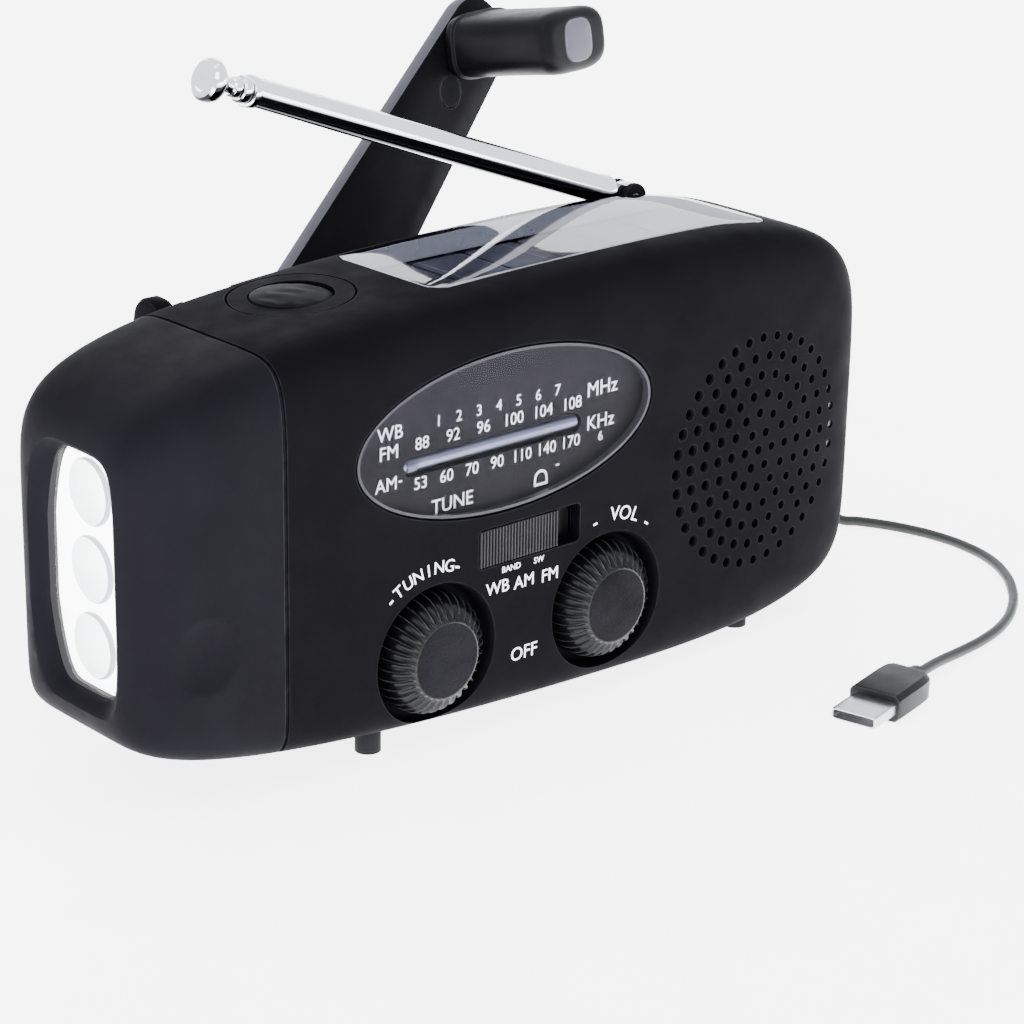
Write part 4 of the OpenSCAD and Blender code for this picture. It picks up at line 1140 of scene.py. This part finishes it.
def make_button():
    place = Matrix.Translation((BUTTON.x, BUTTON.y, 0))
    inner, outer = BUTTON_R + 0.18, BEZEL_R - 0.02
    bezel = lathe("bezel", [(inner, 56.75), (outer, 56.75), (outer, 64), (inner, 64)], place, 96,
                  closed=True)
    done(within_form(bezel, 0.05), BLACK, "case", "case_black", "button_bezel")
    low = span("torch_button")[0].z
    top = float(top_z(np.array(BUTTON.x), np.array(BUTTON.y))) - 0.05
    rings = []
    profile = [(0, low, 0), (1.4, low, 0), (1.4, low + 1.4, 0), (BUTTON_R + 1, low + 1.4, 0),
               (BUTTON_R + 1, low + 2.4, 0), (BUTTON_R, low + 2.4, 0), (BUTTON_R, top - 0.5, 0),
               (BUTTON_R - 0.12, top - 0.15, 0), (BUTTON_R - 0.4, top, 0)]
    steps = 14
    crown = 0.55
    for i in range(1, steps + 1):
        radius = (BUTTON_R - 0.4) * (1 - i / steps)
        profile.append((radius, top + crown * (1 - (radius / BUTTON_R) ** 2) - 0.05, 1))
    for radius, height, waved in profile:
        if radius < 1e-6:
            rings.append([(0, 0, height)])
            continue
        ring = []
        for k in range(72):
            t = k * math.pi / 36
            x, y = radius * math.cos(t), radius * math.sin(t)
            wave = 0.07 * math.sin(1.9 * x + 1.3 * math.sin(1.1 * y)) if waved else 0
            fade = min(1.0, (BUTTON_R - radius) / 1.4)
            ring.append((x, y, height + wave * fade))
        rings.append(ring)
    button = loft("torch_button_cap", rings, place)
    done(button, BUTTON_FINISH, "button", "case_black", "torch_button")


# ---------- solar panel ----------


def make_solar():
    floor, thick = SOLAR_FLOOR + 0.02, 0.9
    cells = [paint(upright("backing", solar_outline(-0.25), floor, floor + thick), SHADOW)]
    count = 6
    inner_low = Vector((SOLAR_LOW.x + 2.4, SOLAR_LOW.y + 1.6))
    inner_high = Vector((SOLAR_HIGH.x - 3.2, SOLAR_HIGH.y - 1.6))
    width = (inner_high.x - inner_low.x) / count
    for i in range(count):
        left = inner_low.x + i * width
        outline = rounded_rectangle((left + 0.25, inner_low.y),
                                    (left + width - 0.25, inner_high.y), 0.8, 3)
        cells.append(paint(upright("cell", outline, floor + thick, floor + thick + 0.25), CELLS))
    done(join("solar_cells", cells), None, "case", "solar_cells", "solar_panel")
    cover = upright("solar_cover_panel", solar_outline(-0.05), SOLAR_FLOOR + 1.25, 70)
    within_form(cover, -0.02)
    done(bake(soften(cover, 0.3, 3, 50)), SOLAR_GLASS, "case", "solar_glass", "solar_cover")
    rim = upright("solar_rim", solar_outline(-0.45), SOLAR_FLOOR + 1.3, 70)
    combine(rim, upright("rim_hole", solar_outline(-0.85), 50, 75))
    done(within_form(rim, 0.35), SILVER, "case", "solar_glass")


# ---------- crank ----------

ON_HUB = Matrix.Translation((HUB.x, 0, HUB.z)) @ Matrix.Rotation(-CRANK_ANGLE, 4, "Y")
ON_ARM = ON_HUB @ Matrix.Translation((0, FOLD.y, 0)) @ Matrix.Rotation(CRANK_LEAN, 4, "Z")
ON_GRIP = ON_ARM @ Matrix.Translation((CRANK_REACH, 0, 0)) @ Matrix.Rotation(CRANK_ANGLE, 4, "Y")
ARM_T = 2.6
ARM_ROOT = 11.0
ARM_TIP = ARM_ROOT - 3.9 / 70 * CRANK_REACH
KNUCKLE_R = 2.1
AXLE_HOLE_R = 1.56
GRIP_LEN = 18.6


def arm_outline(inset):
    """Tapering arm with a round tip, in its own XZ plane."""
    start = KNUCKLE_R + 1 + inset
    root, tip = ARM_ROOT - inset, ARM_TIP - inset
    side = [(CRANK_REACH * k / 8, root + (tip - root) * k / 8) for k in range(1, 8)]

    def corner(first_deg, z):
        turn = [math.radians(first_deg + i * 22.5) for i in range(5)]
        return [(start + 2 + 2 * math.cos(t), z + 2 * math.sin(t)) for t in turn]

    turn = [math.radians(-90 + i * 180 / 32) for i in range(33)]
    end = [(CRANK_REACH + tip * math.cos(t), tip * math.sin(t)) for t in turn]
    return (corner(180, -root + 2) + [(x, -z) for x, z in side] + end + side[::-1]
            + corner(90, root - 2))


def make_arm():
    half = ARM_T / 2
    rows = [(0.42, -half), (0.12, -half + 0.15), (0, -half + 0.45),
            (0, half - 0.6), (0.17, half - 0.2), (0.6, half)]
    arm = loft("crank_arm_moulding",
               [[(x, y, z) for x, z in arm_outline(inset)] for inset, y in rows])
    combine(arm, rod("knuckle", (0, 0, -5), (0, 0, 1), KNUCKLE_R, 10),
            block("neck", (0, -half + 0.05, -5), (7, half - 0.05, 5)), how="UNION")
    ring = [(2.35, 0), (2.6, 0), (2.6, 1.6), (2.35, 1.6)]
    combine(arm, rod("pin_hole", (0, 0, -10), (0, 0, 1), 1.06, 20),
            rod("axle_hole", (CRANK_REACH, -5, 0), (0, 1, 0), AXLE_HOLE_R, 5.5),
            lathe("moulded_ring", ring, facing((CRANK_REACH - 9.8, -half - 1, 0), (0, 1, 0)),
                  closed=True))
    boss = lathe("boss", [(0, 0), (2.3, 0), (2.6, 0.3), (2.6, 0.7), (0, 0.7)],
                 facing((CRANK_REACH, -half - 0.05, 0), (0, 1, 0)))
    combine(boss, rod("boss_hole", (CRANK_REACH, -5, 0), (0, 1, 0), AXLE_HOLE_R, 10))
    settle(combine(arm, boss, how="UNION"), ON_ARM)
    done(arm, CRANK, "arm", "crank_charcoal", "crank_arm")
    across = ON_ARM.to_3x3() @ Vector((0, 1, 0))
    # painted highlight: the arm's side faces get the lighter copy of its colour
    paint_where(arm, CRANK_SIDE_PAINTED_HIGHLIGHT, lambda at, normal: abs(normal.dot(across)) < 0.5)


def make_grip():
    inner, outer = -ARM_T / 2 - 0.3, -ARM_T / 2 - 0.3 - GRIP_LEN
    rows = [(0.5, inner), (0.0, inner - 0.12), (-0.12, inner - 0.5), (-0.12, inner - 1.1),
            (0.2, inner - 1.5), (0.2, inner - 4), (0.25, inner - 9), (0.2, outer + 4),
            (0.15, outer + 2.2)]
    rows += [(0.15 + 1.9 * (1 - math.cos(t * math.pi / 16)),
              outer + 1.9 * (1 - math.sin(t * math.pi / 16))) for t in range(1, 9)]
    grip = loft("grip_moulding", [[(x, y, z) for x, z in soft_box(8 - i, 4.9 - i, 3.6, 96)]
                                  for i, y in rows])
    combine(grip, rod("bore", (0, 2, 0), (0, -1, 0), AXLE_HOLE_R, 30),
            rod("head_room", (0, outer - 1, 0), (0, 1, 0), 2.56, 2.75),
            slab("cap_seat", soft_box(3.35, 3.25, 3.2), outer - 1, outer + 0.6))
    settle(grip, ON_GRIP)
    done(grip, GRIP_FINISH, "grip", "crank_charcoal", "crank_grip")
    rows = [(0, outer + 0.55), (0, outer + 0.05), (0.12, outer - 0.12), (0.45, outer - 0.2),
            (2.0, outer - 0.26)]
    cap = loft("grip_cap", [[(x, y, z) for x, z in soft_box(3.28 - i, 3.18 - i, 3.2)]
                            for i, y in rows], ON_GRIP)
    done(cap, CAP, "grip", "cap_grey", "grip_end_cap")


# ---------- aerial ----------

ON_AERIAL = Matrix.Translation(AERIAL) @ Matrix.Rotation(AERIAL_ANGLE - math.pi / 2, 4, "Y")
TUBE_END = 74.4
TIP_END = 82.0


def make_aerial():
    outer = [(1.2, 4.0), (1.75, 4.0), (2.2, 4.2), (2.32, 4.6), (2.32, 5.6), (2.15, 5.9),
             (2.15, TUBE_END - 1.3), (2.22, TUBE_END - 1.1), (2.3, TUBE_END - 0.6),
             (2.2, TUBE_END - 0.15), (1.95, TUBE_END), (1.66, TUBE_END), (1.66, 6.0), (1.2, 5.6)]
    done(lathe("aerial_tube", outer, ON_AERIAL, 48, closed=True), CHROME_PAINTED_REFLECTION, "aerial", "chrome",
         "antenna_tube")
    sections = [(2, 1.6, 1.21, 8.0, TUBE_END + 1.5, 1.3),
                (3, 1.15, 0.81, 10.5, TUBE_END + 2.7, 1.1)]
    for number, radius, bore, start, end, collar in sections:
        lip = radius + 0.3
        profile = [(bore, start + 1.5), (radius - 0.1, start), (radius, start + 0.2),
                   (radius, end - collar - 0.1), (lip - 0.1, end - collar),
                   (lip, end - collar + 0.25), (lip, end - 0.5), (lip - 0.1, end - 0.15),
                   (lip - 0.3, end), (bore, end)]
        section = lathe(f"aerial_section_{number}", profile, ON_AERIAL, 40, closed=True)
        done(section, CHROME_PAINTED_REFLECTION, f"aerial_{number}", "chrome", f"antenna_section_{number}")
    stem = lathe("aerial_rod_stem", [(0, 13), (0.65, 13), (0.75, 13.2), (0.75, TIP_END - 2),
                                     (0, TIP_END - 2)], ON_AERIAL, 32)
    tip = [(0.76, 5.6), (1.15, 5.55), (1.3, 5.3), (1.3, 4.9), (1.12, 4.7), (1.1, 3.9),
           (1.35, 3.3), (1.9, 2.8), (2.6, 2.3), (2.95, 1.7), (3.02, 1.1), (2.85, 0.55),
           (2.45, 0.25), (2.2, 0.3), (1.6, 0.12), (0.8, 0.02), (0, 0), (0, 1.9), (0.76, 1.9)]
    tip = [(radius, TIP_END - back) for radius, back in tip]
    done(stem, CHROME_PAINTED_REFLECTION, "aerial_rod", "chrome", "antenna_rod")
    done(lathe("aerial_tip_cap", tip, ON_AERIAL, 48), CHROME_PAINTED_REFLECTION, "aerial_rod", "chrome", "antenna_tip")


def make_strap_lug():
    """Rounded ear at the rear left edge, with the cord hole through it."""
    low, high = span("strap_lug")
    centre = (17.8, 53.6)
    rows = [(0.9, low.x + 0.8), (0.3, low.x + 1.0), (0, low.x + 1.6), (0, high.x - 0.5),
            (0.3, high.x), (0.9, high.x + 0.2)]
    lug = loft("strap_lug_ear", [[(x, y, z) for y, z in soft_box(3.5 - i, 5.2 - i, 2.6, 64, centre)]
                                 for i, x in rows])
    combine(lug, rod("cord_hole", (low.x - 1, HALF_DEPTH + 1.6, 53.4), (1, 0, 0), 1.4, 8))
    done(lug, BLACK, "case", "case_black", "strap_lug")


# ---------- charging lead ----------

LEAD_D = 1.6
LEAD_REST_Z = 0.85
LEAD_ROUTE = [
    (79, 10.5, 22.4), (82, 10.5, 22.4), (84.4, 10.5, 21.6), (86.2, 10.5, 19), (87, 10.6, 14.6),
    (87.2, 10.6, 9.6), (87.3, 10.4, 5.2), (87.5, 9.6, 2.2), (88.2, 7.6, LEAD_REST_Z),
    (89.8, 5, LEAD_REST_Z), (91.7, 1.6, LEAD_REST_Z), (93.4, -2.8, LEAD_REST_Z),
    (94.5, -8, LEAD_REST_Z), (94.5, -14, LEAD_REST_Z), (93.1, -19.8, LEAD_REST_Z),
    (90.2, -25.2, LEAD_REST_Z), (85.8, -30.4, LEAD_REST_Z), (80, -35.2, LEAD_REST_Z),
    (73.4, -38.8, LEAD_REST_Z), (66.6, -40.9, LEAD_REST_Z + 0.1), (59.8, -42.2, LEAD_REST_Z + 0.4),
    (53.4, -43.4, LEAD_REST_Z + 0.9), (47, -45, LEAD_REST_Z + 1.3),
]
DEVICE_TURN = math.radians(194)


def chamfered(half_y, half_z, cut):
    """Rectangle with cut corners, in the YZ plane."""
    return [(half_y, -half_z + cut), (half_y, half_z - cut), (half_y - cut, half_z),
            (-half_y + cut, half_z), (-half_y, half_z - cut), (-half_y, -half_z + cut),
            (-half_y + cut, -half_z), (half_y - cut, -half_z)]


def make_usb_plug():
    low, high = span("usb_plug")
    port = middle("usb_socket")
    start, end = 66.7, 74.5
    rows = [(0.7, start), (0.15, start + 0.15), (0, start + 0.6), (0, end - 1.2), (0.12, end - 0.6),
            (0.5, end - 0.15), (1.2, end)]
    shell = loft("overmold", [[(x, port.y + y, port.z + z)
                               for y, z in soft_box(3.7 - i, 7.4 - i, 6)] for i, x in rows])
    for k in range(5):
        x = start + 2.4 + k * 0.9
        rib = [[(px, port.y + y, port.z + z) for y, z in soft_box(3.95 - i, 4.6 - i, 6)]
               for i, px in ((0.2, x - 0.2), (0, x - 0.08), (0, x + 0.08), (0.2, x + 0.2))]
        combine(shell, loft("rib", rib), how="UNION")
    neck = [(0, 0), (2.2, 0), (2.1, 0.5), (1.75, 0.6), (1.75, 0.9), (1.9, 1.0), (1.85, 1.6),
            (1.5, 1.7), (1.5, 2.0), (1.65, 2.1), (1.6, 2.7), (1.3, 2.8), (1.3, 3.1), (1.4, 3.2),
            (1.35, 3.9), (1.1, 4.2), (1.0, high.x - end), (0, high.x - end)]
    relief = lathe("relief", neck, facing((end - 0.1, port.y, port.z), (1, 0, 0)), 32)
    combine(shell, relief, how="UNION")
    paint(shell, PLUG)
    tongue = loft("tongue", [[(x, port.y + y, port.z + z) for y, z in soft_box(2.25, 6, 10)]
                             for x in (low.x, start)])
    combine(tongue, block("hollow", (low.x - 1, port.y - 1.8, port.z - 5.5),
                          (60, port.y + 1.8, port.z + 5.5)))
    paint(tongue, STEEL)
    return done(join("usb_plug_assembly", [shell, tongue]), None, "case", "plug_black",
                "usb_plug")


def make_device_plug():
    at = Matrix.Translation(Vector(LEAD_ROUTE[-1])) @ Matrix.Rotation(DEVICE_TURN, 4, "Z")
    relief = lathe("relief", [(0, 0), (1.15, 0), (1.4, 0.3), (1.5, 1.0), (1.6, 1.4), (1.6, 2.6),
                              (0, 2.6)], at @ Matrix.Rotation(math.pi / 2, 4, "Y"), 32)
    rows = [(2.3, 2.0, 1.5), (2.5, 2.6, 1.85), (2.9, 3.2, 2.02), (3.6, 3.65, 2.1), (4.8, 3.92, 2.1),
            (6.5, 4.0, 2.1), (12.9, 4.0, 2.1), (13.3, 3.85, 1.95), (13.4, 3.5, 1.7)]
    body = loft("body", [[(x, y, z) for y, z in chamfered(a, b, 0.75)] for x, a, b in rows], at)
    combine(body, relief, how="UNION")
    paint(body, PLUG)
    metal = loft("metal", [[(x, y, z) for y, z in soft_box(3.4 - i, 0.9 - i, 9)]
                           for x, i in ((13.2, 0), (19.2, 0), (19.4, 0.12))], at)
    hollow = loft("hollow", [[(x, y, z) for y, z in soft_box(3.15, 0.65, 9)] for x in (15, 20)], at)
    combine(metal, hollow)
    paint(metal, STEEL)
    return done(join("device_plug_assembly", [body, metal]), None, "case", "plug_black",
                "device_plug", angle=28)


def make_lead(plugs):
    curve = bpy.data.curves.new("lead", "CURVE")
    curve.dimensions = "3D"
    curve.bevel_depth = LEAD_D / 2 * MM
    curve.bevel_resolution = 4
    curve.resolution_u = 6
    curve.use_fill_caps = True
    spline = curve.splines.new("BEZIER")
    spline.bezier_points.add(len(LEAD_ROUTE) - 1)
    for knot, place in zip(spline.bezier_points, LEAD_ROUTE):
        knot.co = Vector(place) * MM
        knot.handle_left_type = "AUTO"
        knot.handle_right_type = "AUTO"
    lead = bpy.data.objects.new("charging_lead", curve)
    SCENE.collection.objects.link(lead)
    curve.materials.append(JACKET)
    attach(lead, "case")
    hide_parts("charge_lead")


make_lead([make_usb_plug(), make_device_plug()])
make_front_case()
make_rear_case()
make_torch_head()
make_torch()
make_dial()
make_lettering()
make_knob("tuning_knob_fluted", TUNING, "tuning", "tuning_knob")
make_knob("volume_knob_fluted", VOLUME, "volume", "volume_knob")
make_slider()
make_button()
make_solar()
make_arm()
make_grip()
make_aerial()
make_strap_lug()


# ---------- CAD nodes that stay, with better edges and finishes ----------

KEPT = {
    STEEL: ["button_spring", "speaker_frame", "band_switch", "usb_socket", "charge_socket",
            "gearbox_plate", "idler_axle", "generator_rotor", "generator_can", "crank_hinge_pin",
            "grip_axle", "antenna_pin", "case_screws", "head_screws"],
    CHROME_PAINTED_REFLECTION: ["antenna_knuckle"],
    HEAD: ["antenna_bracket"],
    LED: ["torch_leds"],
    BOARD: ["led_board", "main_board"],
    CONE: ["speaker_cone"],
    CAPACITOR: ["tuning_capacitor"],
    COMPONENT: ["volume_control", "torch_switch", "ferrite_rod"],
    WIRE: ["antenna_coil"],
    WRAP: ["battery"],
    RUBBER: ["port_cover", "feet"],
    NYLON: ["drive_gear", "idler_gear"],
    CRANK: ["crank_hub"],
}


def refine(node, material):
    """Gives a CAD node its finish, welded vertices and softened edges."""
    obj = paint(NODES[node], material)
    weld = obj.modifiers.new("weld", "WELD")
    weld.merge_threshold = 0.002 * MM
    soften(obj, 0.12, 2, 40, "soft_edges")


for finish, names in KEPT.items():
    for kept in names:
        refine(kept, finish)


# ---------- floor and light ----------

FLOOR_SIZE = 8000
FLOOR_GAP = 0.02


def make_floor():
    half = FLOOR_SIZE / 2
    corners = [(-half, -half, 0), (half, -half, 0), (half, half, 0), (-half, half, 0)]
    floor = piece_from("floor", corners, [(0, 1, 2, 3)])
    floor.location.z = -FLOOR_GAP * MM
    material = surface("floor_white", (0.93, 0.93, 0.93), 0.85, grain=(3, 0.01), tone=0.01,
                       specular=0.1, glow=5)
    paint(floor, material)


def area_light(name, at, toward, size, power_w):
    data = bpy.data.lights.new(name, "AREA")
    data.shape = "RECTANGLE"
    data.size, data.size_y = size
    data.energy = power_w
    light = bpy.data.objects.new(name, data)
    light.matrix_world = facing(Vector(at), Vector(at) - Vector(toward))
    light.location = Vector(at) * MM
    SCENE.collection.objects.link(light)


def make_light():
    world = bpy.data.worlds.new("studio")
    world.use_nodes = True
    feed(world.node_tree, world.node_tree.nodes["Background"],
         {"Color": (0.9, 0.92, 1.0, 1), "Strength": 2.0})
    SCENE.world = world
    area_light("key", (-700, -500, 900), (0, 0, 30), (0.6, 0.6), 5)
    area_light("top", (100, 100, 1000), (0, 0, 30), (0.9, 0.9), 4)
    area_light("back", (500, 800, 420), (0, 0, 40), (1.0, 0.5), 3)


make_floor()
make_light()
